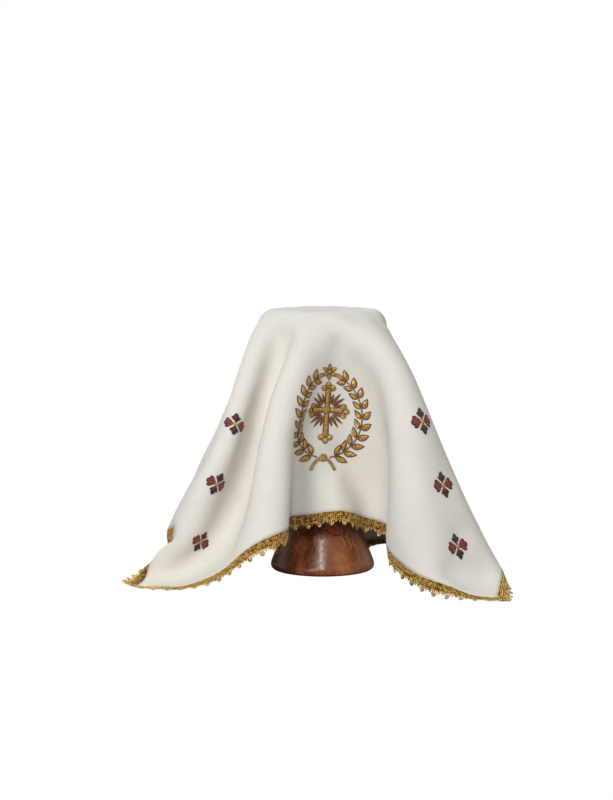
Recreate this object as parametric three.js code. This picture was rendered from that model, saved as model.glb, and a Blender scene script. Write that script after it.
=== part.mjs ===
// A square chalice veil of ivory crepe, edged with gold lace, laid over a chalice and its paten.
// Millimetres, +Z up. The middle of the chalice foot stands on the origin and the front faces -Y.
import * as THREE from "three";

// The veil
const VEIL_SIDE = 520;
const CLOTH_THICK = 2;
const CLOTH_CELLS = 40;
const BACK_SHIFT = 10;

// The lace, one point to each cell of the cloth
const LACE_DEPTH = 14;
const LACE_THICK = 1.6;
const SEAM_GAP = 0.8;

// How the cloth lies: middle of its thickness on the paten, round the paten's edge, and on the table
const TOP_Z = 257;
const ROUND_RADIUS = 62;
const ROUND_EDGE = 12;
const ROUND_DEPTH = 14;
const TABLE_Z = 1.2;
const BODY_CLEAR = 6;

// How the cloth settles
const STEPS = 260;
const SWEEPS = 22;
const WEIGHT = 0.35;
const DAMPING = 0.93;
const MOST_MOVE = 6;
const SHEAR_HOLD = 0.35;
const BEND_HOLD = 0.06;
const HAND_FIRM = 0.25;
const HAND_LIGHT = 0.08;
const HAND_RELEASE = 0.6;

// How small dents ease out at the end, from a distance off the middle of the veil outwards
const EASE_ROUNDS = 4;
const EASE_SWEEPS = 4;
const EASE_PULL = 0.5;
const EASE_FROM = 75;
const EASE_OVER = 30;

// Chalice and paten
const TURN_SEGMENTS = 40;
const CUP_TOP_Z = 248.6;
const PATEN_GAP = 0.3;
const PATEN_RADIUS = 48;
const PATEN_TOP_Z = 255.7;

// Where the hand lays each fold: a place u, v on the flat veil, then its place x, y, z as laid.
const FOLD_COLUMNS = ["u", "v", "x", "y", "z"];
const FOLDS = {
  front_left_corner: [-260, -260, -188, -92, 0],
  front_left_hem: [-195, -260, -114, -106, 13],
  left_flap_rise: [-156, -260, -86, -115, 32],
  left_flap_hem: [-130, -260, -63, -118, 46],
  left_flap_crest: [-91, -260, -31, -118, 59],
  panel_left: [-39, -260, -30, -70, 61],
  panel_middle: [0, -260, 4, -74, 66],
  panel_right: [39, -260, 40, -70, 58],
  valley_right: [65, -260, 44, -44, 53],
  flank_right: [117, -260, 55, -90, 33],
  flank_low: [143, -260, 66, -110, 24],
  right_flap_crest: [169, -260, 80, -130, 18],
  right_flap_hem: [221, -260, 126, -149, 10],
  front_right_corner: [260, -260, 155, -149, 2],
  right_hem_front: [260, -221, 163, -122, 22],
  right_hem_mid: [260, -182, 157, -88, 30],
  left_hem_front: [-260, -195, -138, -44, 8],
  emblem_left: [-39, -182, -38, -66, 140],
  emblem_right: [39, -182, 43, -62, 140],
  emblem_mid: [0, -195, 3, -66, 128],
  emblem_left_top: [-39, -130, -40, -66, 192],
  emblem_right_top: [39, -130, 43, -66, 192],
  right_flap_edge_high: [130, -78, 90, -46, 177],
  left_lobe_high: [-117, 78, -62, 44, 186],
  left_lobe_mid: [-208, 117, -104, 34, 100],
  left_lobe_hem: [-260, 130, -142, 28, 46],
  left_side_valley: [-260, -97, -68, -14, 46],
  left_side_crest: [-260, -20, -104, -2, 80],
  left_side_back: [-260, 39, -76, 18, 48],
  back_left_corner: [-260, 260, -134, 172, 2],
  back_left_lap: [-221, 221, -108, 132, 6],
  back_left_valley: [-117, 260, -40, 82, 20],
  back_crest: [0, 260, 10, 140, 60],
  back_right_valley: [117, 260, 44, 74, 22],
  back_right_corner: [260, 260, 150, 164, 2],
  back_right_lap: [221, 221, 122, 124, 6],
  right_side_back: [260, 91, 76, 40, 38],
  right_side_crest: [260, 0, 128, 4, 64],
  right_side_front: [260, -91, 74, -34, 44],
  left_ridge_high: [-104, -91, -64, -64, 190],
  left_ridge: [-143, -117, -83, -80, 150],
  left_ridge_mid: [-195, -156, -100, -96, 102],
  left_ridge_low: [-182, -130, -92, -88, 120],
  left_flap_low: [-234, -195, -130, -96, 45],
  left_flower_high: [-130, -130, -84, -58, 149],
  left_flower_mid: [-169, -169, -100, -72, 94],
  left_flower_low: [-208, -208, -116, -88, 42],
  left_valley_high: [-91, -117, -63, -42, 174],
  left_valley: [-117, -143, -71, -46, 143],
  left_valley_mid: [-143, -156, -77, -52, 119],
  left_valley_low: [-156, -182, -88, -66, 90],
  left_crest_high: [-52, -143, -41, -80, 181],
  left_crest: [-65, -182, -37, -97, 131],
  left_crest_low: [-78, -221, -33, -108, 99],
  left_back_high: [-130, -65, -67, -34, 183],
  left_back: [-182, -91, -90, -44, 128],
  left_back_mid: [-221, -117, -104, -56, 86],
  left_lobe: [-156, 104, -86, 48, 148],
  right_valley_high: [52, -143, 49, -50, 172],
  right_valley: [65, -195, 54, -52, 121],
  right_crest_high: [78, -130, 65, -78, 190],
  right_crest: [104, -182, 66, -108, 135],
  right_crest_low: [143, -221, 73, -130, 79],
  right_flower_high: [130, -130, 94, -86, 154],
  right_flower_mid: [169, -169, 110, -102, 96],
  right_flower_low: [208, -208, 125, -118, 40],
  right_flap_edge: [208, -156, 130, -86, 91],
  panel_low: [0, -228, 4, -67, 97],
  left_hem_corner: [-260, -228, -158, -70, 4],
  flank_high: [91, -260, 46, -64, 45],
};

// Lace outline of one cell: share along the cell, then how far the lace reaches out from the hem.
const POINT_COLUMNS = ["along", "reach"];
const LACE_POINT = [
  [0, 8],
  [0.3, 12.4],
  [0.5, 14],
  [0.7, 12.4],
];
// Lace outline round a corner: angle from the end of one side to the start of the next, and reach.
const CORNER_COLUMNS = ["angle", "reach"];
const LACE_CORNER = [
  [0, 8],
  [16, 13],
  [31, 10.5],
  [45, 17.5],
  [59, 10.5],
  [74, 13],
];

// Chalice outline, from the table up.
const CHALICE_COLUMNS = ["z", "radius"];
const CHALICE = [
  [0, 49.6],
  [1.2, 50.9],
  [3.6, 51.5],
  [6.4, 51.2],
  [10, 49.9],
  [20, 46],
  [34, 40.4],
  [50, 34],
  [64, 27.5],
  [76, 20],
  [86, 14.5],
  [96, 12],
  [104, 12.5],
  [110, 18],
  [118, 21],
  [126, 18],
  [132, 12.5],
  [142, 11.5],
  [152, 14],
  [160, 22],
  [170, 30.5],
  [186, 37.5],
  [208, 41.5],
  [232, 43.5],
  [CUP_TOP_Z, 44],
];
// Paten outline: share of its height, then share of its radius.
const PATEN_OUTLINE_COLUMNS = ["rise", "spread"];
const PATEN_OUTLINE = [
  [0, 0.86],
  [0.2, 0.95],
  [0.38, 1],
  [0.55, 0.985],
  [0.72, 0.945],
  [0.88, 0.87],
  [0.97, 0.79],
  [1, 0.72],
];

const IVORY = new THREE.MeshStandardMaterial({ color: 0xdcd6ca, roughness: 0.85, metalness: 0 });
const GOLD_LACE = new THREE.MeshStandardMaterial({ color: 0xac8f4e, roughness: 0.5, metalness: 0.4 });
const TURNED_WOOD = new THREE.MeshStandardMaterial({ color: 0x8c6149, roughness: 0.4, metalness: 0 });
const GILT = new THREE.MeshStandardMaterial({ color: 0xb89a58, roughness: 0.35, metalness: 0.8 });

/** Turns rows of bare numbers into records with the given column names. */
function readTable(columns, rows) {
  return rows.map((row) => Object.fromEntries(columns.map((column, k) => [column, row[k]])));
}

/** Positions of the grid lines across the veil, with one line outside each hem for the lace. */
function gridLines() {
  const half = VEIL_SIDE / 2;
  const lines = [-half - LACE_DEPTH];
  for (let k = 0; k <= CLOTH_CELLS; k++) lines.push(-half + (VEIL_SIDE * k) / CLOTH_CELLS);
  lines.push(half + LACE_DEPTH);
  return lines;
}

const LINES = gridLines();
const COUNT = LINES.length;
const at = (i, j) => i * COUNT + j;

/** The grid line nearest to a place on the flat veil. */
function nearestLine(value) {
  let best = 0;
  LINES.forEach((line, k) => {
    if (Math.abs(line - value) < Math.abs(LINES[best] - value)) best = k;
  });
  return best;
}

/** Threads between grid points: pairs a step apart along i and j, starting at every first'th line. */
function threads(stepI, stepJ, hold, firstI, everyI, firstJ, everyJ) {
  const pairs = [];
  const endI = COUNT - Math.max(stepI, 0);
  const endJ = COUNT - Math.max(stepJ, 0);
  for (let i = firstI; i < endI; i += everyI) {
    for (let j = Math.max(firstJ, -stepJ); j < endJ; j += everyJ) {
      const length = Math.hypot(LINES[i + stepI] - LINES[i], LINES[j + stepJ] - LINES[j]);
      pairs.push({ a: 3 * at(i, j), b: 3 * at(i + stepI, j + stepJ), length });
    }
  }
  return { pairs, hold, moves: new Float64Array(3 * pairs.length) };
}

/** All the sets of threads, in the order in which they are tightened. */
function threadSets() {
  const sets = [];
  for (const first of [0, 1]) {
    sets.push(threads(1, 0, 1, first, 2, 0, 1));
    sets.push(threads(0, 1, 1, 0, 1, first, 2));
  }
  sets.push(threads(1, 1, SHEAR_HOLD, 0, 1, 0, 1));
  sets.push(threads(1, -1, SHEAR_HOLD, 0, 1, 0, 1));
  for (const [step, hold] of [[2, BEND_HOLD], [4, BEND_HOLD / 2]]) {
    sets.push(threads(step, 0, hold, 0, 1, 0, 1));
    sets.push(threads(0, step, hold, 0, 1, 0, 1));
  }
  return sets;
}

/** Draws each pair of a set towards its flat length. */
function tighten(p, { pairs, hold, moves }) {
  pairs.forEach(({ a, b, length }, k) => {
    const dx = p[b] - p[a];
    const dy = p[b + 1] - p[a + 1];
    const dz = p[b + 2] - p[a + 2];
    const now = Math.max(Math.sqrt(dx * dx + dy * dy + dz * dz), 1e-9);
    const share = 0.5 * hold * (1 - length / now);
    moves[3 * k] = dx * share;
    moves[3 * k + 1] = dy * share;
    moves[3 * k + 2] = dz * share;
  });
  pairs.forEach(({ a, b }, k) => {
    for (let c = 0; c < 3; c++) {
      p[a + c] += moves[3 * k + c];
      p[b + c] -= moves[3 * k + c];
    }
  });
}

/** Radius of the chalice at a height. */
function chaliceRadius(z) {
  let k = 1;
  while (k < CHALICE.length - 1 && CHALICE[k][0] < z) k++;
  const [lowZ, lowRadius] = CHALICE[k - 1];
  const [highZ, highRadius] = CHALICE[k];
  const share = Math.min(Math.max((z - lowZ) / (highZ - lowZ), 0), 1);
  return lowRadius + (highRadius - lowRadius) * share;
}

/** Keeps one point of the cloth above the table and outside the paten and the chalice. */
function keepClear(p, before, k) {
  const radius = Math.sqrt(p[k] * p[k] + p[k + 1] * p[k + 1]) + 1e-9;
  const inner = ROUND_RADIUS - ROUND_EDGE;
  const middle = TOP_Z - ROUND_EDGE;
  const out = Math.max(radius - inner, 0);
  const up = p[k + 2] - middle;
  const lifted = Math.sqrt(out * out + Math.max(up, 0) ** 2) + 1e-9;
  const near = radius < ROUND_RADIUS && p[k + 2] < TOP_Z && p[k + 2] > TOP_Z - ROUND_DEPTH;
  let scale = 1;
  if (near && up <= 0) scale = ROUND_RADIUS / radius;
  else if (near && out <= 0) p[k + 2] = TOP_Z;
  else if (near && lifted < ROUND_EDGE) {
    scale = (inner + (out * ROUND_EDGE) / lifted) / radius;
    p[k + 2] = middle + (up * ROUND_EDGE) / lifted;
  }
  const body = chaliceRadius(p[k + 2]) + BODY_CLEAR;
  if (radius < body && p[k + 2] < TOP_Z - ROUND_DEPTH) scale = body / radius;
  p[k] *= scale;
  p[k + 1] *= scale;
  if (p[k + 2] >= TABLE_Z) return;
  p[k + 2] = TABLE_Z;
  p[k] = before[k] + 0.5 * (p[k] - before[k]);
  p[k + 1] = before[k + 1] + 0.5 * (p[k + 1] - before[k + 1]);
}

/** Takes out small dents: each point moves part of the way to the middle of its neighbours. */
function easeDents(p) {
  const next = p.slice();
  const nearEdge = (n) => n < 2 || n > COUNT - 3;
  for (let i = 0; i < COUNT; i++) {
    for (let j = 0; j < COUNT; j++) {
      if (nearEdge(i) && nearEdge(j)) continue;
      const beside = [];
      if (!nearEdge(i)) beside.push(at(i - 1, j), at(i + 1, j));
      if (!nearEdge(j)) beside.push(at(i, j - 1), at(i, j + 1));
      const radius = Math.hypot(LINES[i], LINES[j] + BACK_SHIFT);
      const pull = EASE_PULL * Math.min(Math.max((radius - EASE_FROM) / EASE_OVER, 0), 1);
      const k = 3 * at(i, j);
      for (let c = 0; c < 3; c++) {
        const middle = beside.reduce((sum, n) => sum + p[3 * n + c], 0) / beside.length;
        next[k + c] += (middle - p[k + c]) * pull;
      }
    }
  }
  return next;
}

/** Lays the flat veil over the paten, leads its folds by hand and lets it settle under its weight. */
function settleCloth() {
  let p = new Float64Array(3 * COUNT * COUNT);
  const held = [];
  for (let i = 0; i < COUNT; i++) {
    for (let j = 0; j < COUNT; j++) {
      const radius = Math.hypot(LINES[i], LINES[j] + BACK_SHIFT);
      const k = 3 * at(i, j);
      p[k] = LINES[i];
      p[k + 1] = LINES[j] + BACK_SHIFT;
      p[k + 2] = TOP_Z + 0.5 - 0.0004 * Math.max(radius - ROUND_RADIUS, 0) ** 2;
      if (radius < ROUND_RADIUS - ROUND_EDGE) held.push({ k, x: p[k], y: p[k + 1] });
    }
  }
  const hands = readTable(FOLD_COLUMNS, Object.values(FOLDS)).map(({ u, v, x, y, z }) => {
    const k = 3 * at(nearestLine(u), nearestLine(v));
    return { k, from: [p[k], p[k + 1], p[k + 2]], to: [x, y, z] };
  });
  const sets = threadSets();
  const hold = (before) => {
    sets.forEach((set) => tighten(p, set));
    for (const { k, x, y } of held) {
      p[k] = x;
      p[k + 1] = y;
      p[k + 2] = TOP_Z;
    }
    const grip = before ?? p.slice();
    for (let k = 0; k < p.length; k += 3) keepClear(p, grip, k);
  };
  let before = p.slice();
  for (let step = 0; step < STEPS; step++) {
    let share = Math.min(1, step / (STEPS * HAND_RELEASE * 0.75));
    share = share * share * (3 - 2 * share);
    const past = (step / STEPS - HAND_RELEASE) / (1 - HAND_RELEASE);
    const fade = step < STEPS * HAND_RELEASE ? 1 : Math.max(0, 1 - past * 1.25);
    const firm = HAND_LIGHT + (HAND_FIRM - HAND_LIGHT) * fade;
    const next = p.slice();
    for (let k = 0; k < p.length; k += 3) {
      const move = [0, 1, 2].map((c) => (p[k + c] - before[k + c]) * DAMPING);
      const speed = Math.sqrt(move[0] ** 2 + move[1] ** 2 + move[2] ** 2);
      const slow = Math.min(1, MOST_MOVE / Math.max(speed, 1e-9));
      for (let c = 0; c < 3; c++) next[k + c] += move[c] * slow;
      next[k + 2] -= WEIGHT;
    }
    before = p;
    p = next;
    for (let sweep = 0; sweep < SWEEPS; sweep++) {
      for (const { k, from, to } of hands) {
        for (let c = 0; c < 3; c++) p[k + c] += (from[c] + (to[c] - from[c]) * share - p[k + c]) * firm;
      }
      hold(before);
    }
  }
  for (let round = 0; round < EASE_ROUNDS; round++) {
    p = easeDents(p);
    for (let sweep = 0; sweep < EASE_SWEEPS; sweep++) hold();
  }
  return p;
}

/** Settled cloth as vectors, with the outward direction at each grid point. */
function clothSurface() {
  const flat = settleCloth();
  const points = [];
  for (let k = 0; k < flat.length; k += 3) points.push(new THREE.Vector3().fromArray(flat, k));
  const outward = points.map((_, k) => {
    const i = Math.floor(k / COUNT);
    const j = k % COUNT;
    const acrossI = points[at(Math.min(i + 1, COUNT - 1), j)].clone().sub(points[at(Math.max(i - 1, 0), j)]);
    const acrossJ = points[at(i, Math.min(j + 1, COUNT - 1))].clone().sub(points[at(i, Math.max(j - 1, 0))]);
    return acrossI.cross(acrossJ).normalize();
  });
  return { points, outward };
}

/** The place on one side of the cloth at u, v, lifted from the middle of its thickness. */
function placeOn(surface, u, v, lift) {
  const cell = (value) => {
    let k = 0;
    while (k < COUNT - 2 && LINES[k + 1] <= value) k++;
    return { k, f: (value - LINES[k]) / (LINES[k + 1] - LINES[k]) };
  };
  const a = cell(u);
  const b = cell(v);
  const blend = (list) => {
    const low = list[at(a.k, b.k)].clone().lerp(list[at(a.k + 1, b.k)], a.f);
    const high = list[at(a.k, b.k + 1)].clone().lerp(list[at(a.k + 1, b.k + 1)], a.f);
    return low.lerp(high, b.f);
  };
  return blend(surface.points).addScaledVector(blend(surface.outward).normalize(), lift);
}

/** A named mesh from a list of points and a list of triangles. */
function makeMesh(name, points, triangles, material) {
  const geometry = new THREE.BufferGeometry().setFromPoints(points);
  geometry.setIndex(triangles.flat());
  geometry.computeVertexNormals();
  const mesh = new THREE.Mesh(geometry, material);
  mesh.name = name;
  return mesh;
}

/** The cloth from hem to hem, with its thickness. */
function makeCloth(surface) {
  const points = [];
  const side = CLOTH_CELLS + 1;
  for (const lift of [CLOTH_THICK / 2, -CLOTH_THICK / 2]) {
    for (let i = 1; i <= side; i++) {
      for (let j = 1; j <= side; j++) {
        const k = at(i, j);
        points.push(surface.points[k].clone().addScaledVector(surface.outward[k], lift));
      }
    }
  }
  const outer = (i, j) => i * side + j;
  const inner = (i, j) => side * side + outer(i, j);
  const triangles = [];
  for (let i = 0; i < CLOTH_CELLS; i++) {
    for (let j = 0; j < CLOTH_CELLS; j++) {
      const corners = [[i, j], [i + 1, j], [i + 1, j + 1], [i, j + 1]];
      const spans = [0, 1].map((k) => points[outer(...corners[k])].distanceTo(points[outer(...corners[k + 2])]));
      const first = spans[0] <= spans[1] ? 0 : 1;
      const [a, b, c, d] = [0, 1, 2, 3].map((k) => corners[(first + k) % 4]);
      triangles.push([outer(...a), outer(...b), outer(...c)], [outer(...a), outer(...c), outer(...d)]);
      triangles.push([inner(...a), inner(...c), inner(...b)], [inner(...a), inner(...d), inner(...c)]);
    }
  }
  const rim = [];
  for (let k = 0; k < CLOTH_CELLS; k++) rim.push([k, 0]);
  for (let k = 0; k < CLOTH_CELLS; k++) rim.push([CLOTH_CELLS, k]);
  for (let k = CLOTH_CELLS; k > 0; k--) rim.push([k, CLOTH_CELLS]);
  for (let k = CLOTH_CELLS; k > 0; k--) rim.push([0, k]);
  rim.forEach((from, k) => {
    const to = rim[(k + 1) % rim.length];
    triangles.push([outer(...from), inner(...from), inner(...to)]);
    triangles.push([outer(...from), inner(...to), outer(...to)]);
  });
  return makeMesh("veil_cloth", points, triangles, IVORY);
}

/** The lace's outline on the flat veil: where each rib starts at the hem and where it ends. */
function laceRibs() {
  const half = VEIL_SIDE / 2;
  const pitch = VEIL_SIDE / CLOTH_CELLS;
  const ribs = [];
  for (let quarter = 0; quarter < 4; quarter++) {
    const turn = (along, out) => {
      const [c, s] = [[1, 0], [0, 1], [-1, 0], [0, -1]][quarter];
      return [c * along + s * out, s * along - c * out];
    };
    for (let cell = 0; cell < CLOTH_CELLS; cell++) {
      for (const { along, reach } of readTable(POINT_COLUMNS, LACE_POINT)) {
        const place = -half + pitch * (cell + along);
        const inset = cell === 0 && along === 0 ? -SEAM_GAP : 0;
        ribs.push({ start: turn(place + inset, half + SEAM_GAP), end: turn(place, half + reach) });
      }
    }
    for (const { angle, reach } of readTable(CORNER_COLUMNS, LACE_CORNER)) {
      const out = Math.cos((angle * Math.PI) / 180) * reach;
      const along = Math.sin((angle * Math.PI) / 180) * reach;
      ribs.push({ start: turn(half + SEAM_GAP, half + SEAM_GAP), end: turn(half + along, half + out) });
    }
  }
  return ribs;
}

/** The gold lace, one length sewn round all four hems. */
function makeLace(surface) {
  const points = [];
  const known = new Map();
  const pointAt = ([u, v], lift) => {
    const key = [u.toFixed(3), v.toFixed(3), lift].join();
    if (!known.has(key)) known.set(key, points.push(placeOn(surface, u, v, lift)) - 1);
    return known.get(key);
  };
  const ribs = laceRibs().map(({ start, end }) => ({
    startUp: pointAt(start, LACE_THICK / 2),
    startDown: pointAt(start, -LACE_THICK / 2),
    endUp: pointAt(end, LACE_THICK / 2),
    endDown: pointAt(end, -LACE_THICK / 2),
  }));
  const triangles = [];
  const addTriangle = (a, b, c) => {
    if (a !== b && b !== c && c !== a) triangles.push([a, b, c]);
  };
  const addQuad = (a, b, c, d) => {
    addTriangle(a, b, c);
    addTriangle(a, c, d);
  };
  ribs.forEach((from, k) => {
    const to = ribs[(k + 1) % ribs.length];
    addQuad(from.startUp, from.endUp, to.endUp, to.startUp);
    addQuad(from.startDown, to.startDown, to.endDown, from.endDown);
    addQuad(from.endUp, from.endDown, to.endDown, to.endUp);
    addQuad(from.startUp, to.startUp, to.startDown, from.startDown);
  });
  return makeMesh("lace_edging", points, triangles, GOLD_LACE);
}

/** A solid turned about the upright axis, from an outline of heights and radii. */
function makeTurned(name, outline, material) {
  const points = [new THREE.Vector3(0, 0, outline[0].z)];
  const triangles = [];
  const last = outline.length - 1;
  outline.forEach(({ z, radius }) => {
    for (let k = 0; k < TURN_SEGMENTS; k++) {
      const angle = (2 * Math.PI * k) / TURN_SEGMENTS;
      points.push(new THREE.Vector3(Math.cos(angle) * radius, Math.sin(angle) * radius, z));
    }
  });
  const top = points.push(new THREE.Vector3(0, 0, outline[last].z)) - 1;
  const ring = (row, k) => 1 + row * TURN_SEGMENTS + (k % TURN_SEGMENTS);
  for (let k = 0; k < TURN_SEGMENTS; k++) {
    triangles.push([0, ring(0, k + 1), ring(0, k)]);
    triangles.push([top, ring(last, k), ring(last, k + 1)]);
    for (let row = 0; row < last; row++) {
      triangles.push([ring(row, k), ring(row, k + 1), ring(row + 1, k + 1)]);
      triangles.push([ring(row, k), ring(row + 1, k + 1), ring(row + 1, k)]);
    }
  }
  return makeMesh(name, points, triangles, material);
}

const surface = clothSurface();
const patenBase = CUP_TOP_Z + PATEN_GAP;
const patenOutline = readTable(PATEN_OUTLINE_COLUMNS, PATEN_OUTLINE).map(({ rise, spread }) => ({
  z: patenBase + (PATEN_TOP_Z - patenBase) * rise,
  radius: PATEN_RADIUS * spread,
}));

const group = new THREE.Group();
group.name = "chalice_veil";
group.add(makeCloth(surface));
group.add(makeLace(surface));
group.add(makeTurned("chalice", readTable(CHALICE_COLUMNS, CHALICE), TURNED_WOOD));
group.add(makeTurned("paten", patenOutline, GILT));

export default group;
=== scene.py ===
"""Ivory chalice veil with gold lace and needlework, draped over a chalice and its paten.

The square of cloth is let down over the paten by a guided relaxation of its threads. Lace and
needlework are modelled flat, in the cloth's own width and length, and then laid on its folds.
"""

import logging
import math
from collections.abc import Sequence
from dataclasses import dataclass, field
from enum import Enum, IntEnum
from typing import Any

import bmesh
import bpy
import numpy as np
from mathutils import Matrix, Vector


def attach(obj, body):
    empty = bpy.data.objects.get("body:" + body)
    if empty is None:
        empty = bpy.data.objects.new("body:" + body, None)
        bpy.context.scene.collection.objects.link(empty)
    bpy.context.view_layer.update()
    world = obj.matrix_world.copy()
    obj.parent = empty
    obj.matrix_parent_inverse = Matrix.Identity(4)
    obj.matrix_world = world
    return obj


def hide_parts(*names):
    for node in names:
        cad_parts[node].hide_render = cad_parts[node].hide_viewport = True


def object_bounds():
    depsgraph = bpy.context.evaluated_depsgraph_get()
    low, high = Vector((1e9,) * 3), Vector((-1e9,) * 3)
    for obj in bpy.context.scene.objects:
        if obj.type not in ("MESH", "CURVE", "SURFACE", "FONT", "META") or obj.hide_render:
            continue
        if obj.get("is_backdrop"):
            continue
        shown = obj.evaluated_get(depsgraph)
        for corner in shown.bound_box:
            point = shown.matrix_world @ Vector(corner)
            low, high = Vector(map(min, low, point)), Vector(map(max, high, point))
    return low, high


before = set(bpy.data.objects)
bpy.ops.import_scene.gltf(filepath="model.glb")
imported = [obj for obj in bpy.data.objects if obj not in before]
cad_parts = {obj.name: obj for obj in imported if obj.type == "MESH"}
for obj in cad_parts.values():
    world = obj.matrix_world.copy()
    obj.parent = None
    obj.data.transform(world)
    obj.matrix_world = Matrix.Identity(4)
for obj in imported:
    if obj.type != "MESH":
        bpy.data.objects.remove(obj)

Array = np.ndarray
Point = tuple[float, float]
Colour = tuple[float, float, float]
CurveSpot = tuple[float, float, float, float]
Threads = list[tuple[Any, Any, Array, float]]

LOG = logging.getLogger("chalice_veil")
CAD_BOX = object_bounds()
BODY = "root"
MM = 0.001
TINY = 1e-9

# The flat veil in millimetres: half the cloth's side, and the lace beyond its hem.
VEIL_HALF = 260.0
LACE_DEPTH = 14.0

# Flat place on the veil, then the place in which the hand leaves it: u, v, x, y, z in millimetres.
FOLDS: dict[str, tuple[float, float, float, float, float]] = {
    "front_left_corner": (-260, -260, -188, -92, 0),
    "front_left_hem": (-195, -260, -114, -106, 13),
    "left_flap_rise": (-156, -260, -86, -115, 32),
    "left_flap_hem": (-130, -260, -63, -118, 46),
    "left_flap_crest": (-91, -260, -31, -118, 59),
    "panel_left": (-39, -260, -30, -70, 61),
    "panel_middle": (0, -260, 4, -74, 66),
    "panel_right": (39, -260, 40, -70, 58),
    "valley_right": (65, -260, 44, -44, 53),
    "flank_right": (117, -260, 55, -90, 33),
    "flank_low": (143, -260, 66, -110, 24),
    "right_flap_crest": (169, -260, 80, -130, 18),
    "right_flap_hem": (221, -260, 126, -149, 10),
    "front_right_corner": (260, -260, 155, -149, 2),
    "right_hem_front": (260, -221, 163, -122, 22),
    "right_hem_mid": (260, -182, 157, -88, 30),
    "left_hem_front": (-260, -195, -138, -44, 8),
    "emblem_left": (-39, -182, -38, -66, 140),
    "emblem_right": (39, -182, 43, -62, 140),
    "emblem_mid": (0, -195, 3, -66, 128),
    "emblem_left_top": (-39, -130, -40, -66, 192),
    "emblem_right_top": (39, -130, 43, -66, 192),
    "right_flap_edge_high": (130, -78, 90, -46, 177),
    "left_lobe_high": (-117, 78, -62, 44, 186),
    "left_lobe_mid": (-208, 117, -104, 34, 100),
    "left_lobe_hem": (-260, 130, -142, 28, 46),
    "left_side_valley": (-260, -97, -68, -14, 46),
    "left_side_crest": (-260, -20, -104, -2, 80),
    "left_side_back": (-260, 39, -76, 18, 48),
    "back_left_corner": (-260, 260, -134, 172, 2),
    "back_left_lap": (-221, 221, -108, 132, 6),
    "back_left_valley": (-117, 260, -40, 82, 20),
    "back_crest": (0, 260, 10, 140, 60),
    "back_right_valley": (117, 260, 44, 74, 22),
    "back_right_corner": (260, 260, 150, 164, 2),
    "back_right_lap": (221, 221, 122, 124, 6),
    "right_side_back": (260, 91, 76, 40, 38),
    "right_side_crest": (260, 0, 128, 4, 64),
    "right_side_front": (260, -91, 74, -34, 44),
    "left_ridge_high": (-104, -91, -64, -64, 190),
    "left_ridge": (-143, -117, -83, -80, 150),
    "left_ridge_mid": (-195, -156, -100, -96, 102),
    "left_ridge_low": (-182, -130, -92, -88, 120),
    "left_flap_low": (-234, -195, -130, -96, 45),
    "left_flower_high": (-130, -130, -84, -58, 149),
    "left_flower_mid": (-169, -169, -100, -72, 94),
    "left_flower_low": (-208, -208, -116, -88, 42),
    "left_valley_high": (-91, -117, -63, -42, 174),
    "left_valley": (-117, -143, -71, -46, 143),
    "left_valley_mid": (-143, -156, -77, -52, 119),
    "left_valley_low": (-156, -182, -88, -66, 90),
    "left_crest_high": (-52, -143, -41, -80, 181),
    "left_crest": (-65, -182, -37, -97, 131),
    "left_crest_low": (-78, -221, -33, -108, 99),
    "left_back_high": (-130, -65, -67, -34, 183),
    "left_back": (-182, -91, -90, -44, 128),
    "left_back_mid": (-221, -117, -104, -56, 86),
    "left_lobe": (-156, 104, -86, 48, 148),
    "right_valley_high": (52, -143, 49, -50, 172),
    "right_valley": (65, -195, 54, -52, 121),
    "right_crest_high": (78, -130, 65, -78, 190),
    "right_crest": (104, -182, 66, -108, 135),
    "right_crest_low": (143, -221, 73, -130, 79),
    "right_flower_high": (130, -130, 94, -86, 154),
    "right_flower_mid": (169, -169, 110, -102, 96),
    "right_flower_low": (208, -208, 125, -118, 40),
    "right_flap_edge": (208, -156, 130, -86, 91),
    "panel_low": (0, -228, 4, -67, 97),
    "left_hem_corner": (-260, -228, -158, -70, 4),
    "flank_high": (91, -260, 46, -64, 45),
}

# Outline of the chalice from the table up: height and radius in millimetres.
CHALICE_OUTLINE: tuple[Point, ...] = (
    (0, 49.6), (1.2, 50.9), (3.6, 51.5), (6.4, 51.2), (10, 49.9), (20, 46), (34, 40.4), (50, 34),
    (64, 27.5), (76, 20), (86, 14.5), (96, 12), (104, 12.5), (110, 18), (118, 21), (126, 18),
    (132, 12.5), (142, 11.5), (152, 14), (160, 22), (170, 30.5), (186, 37.5), (208, 41.5),
    (232, 43.5), (248.6, 44),
)


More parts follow.
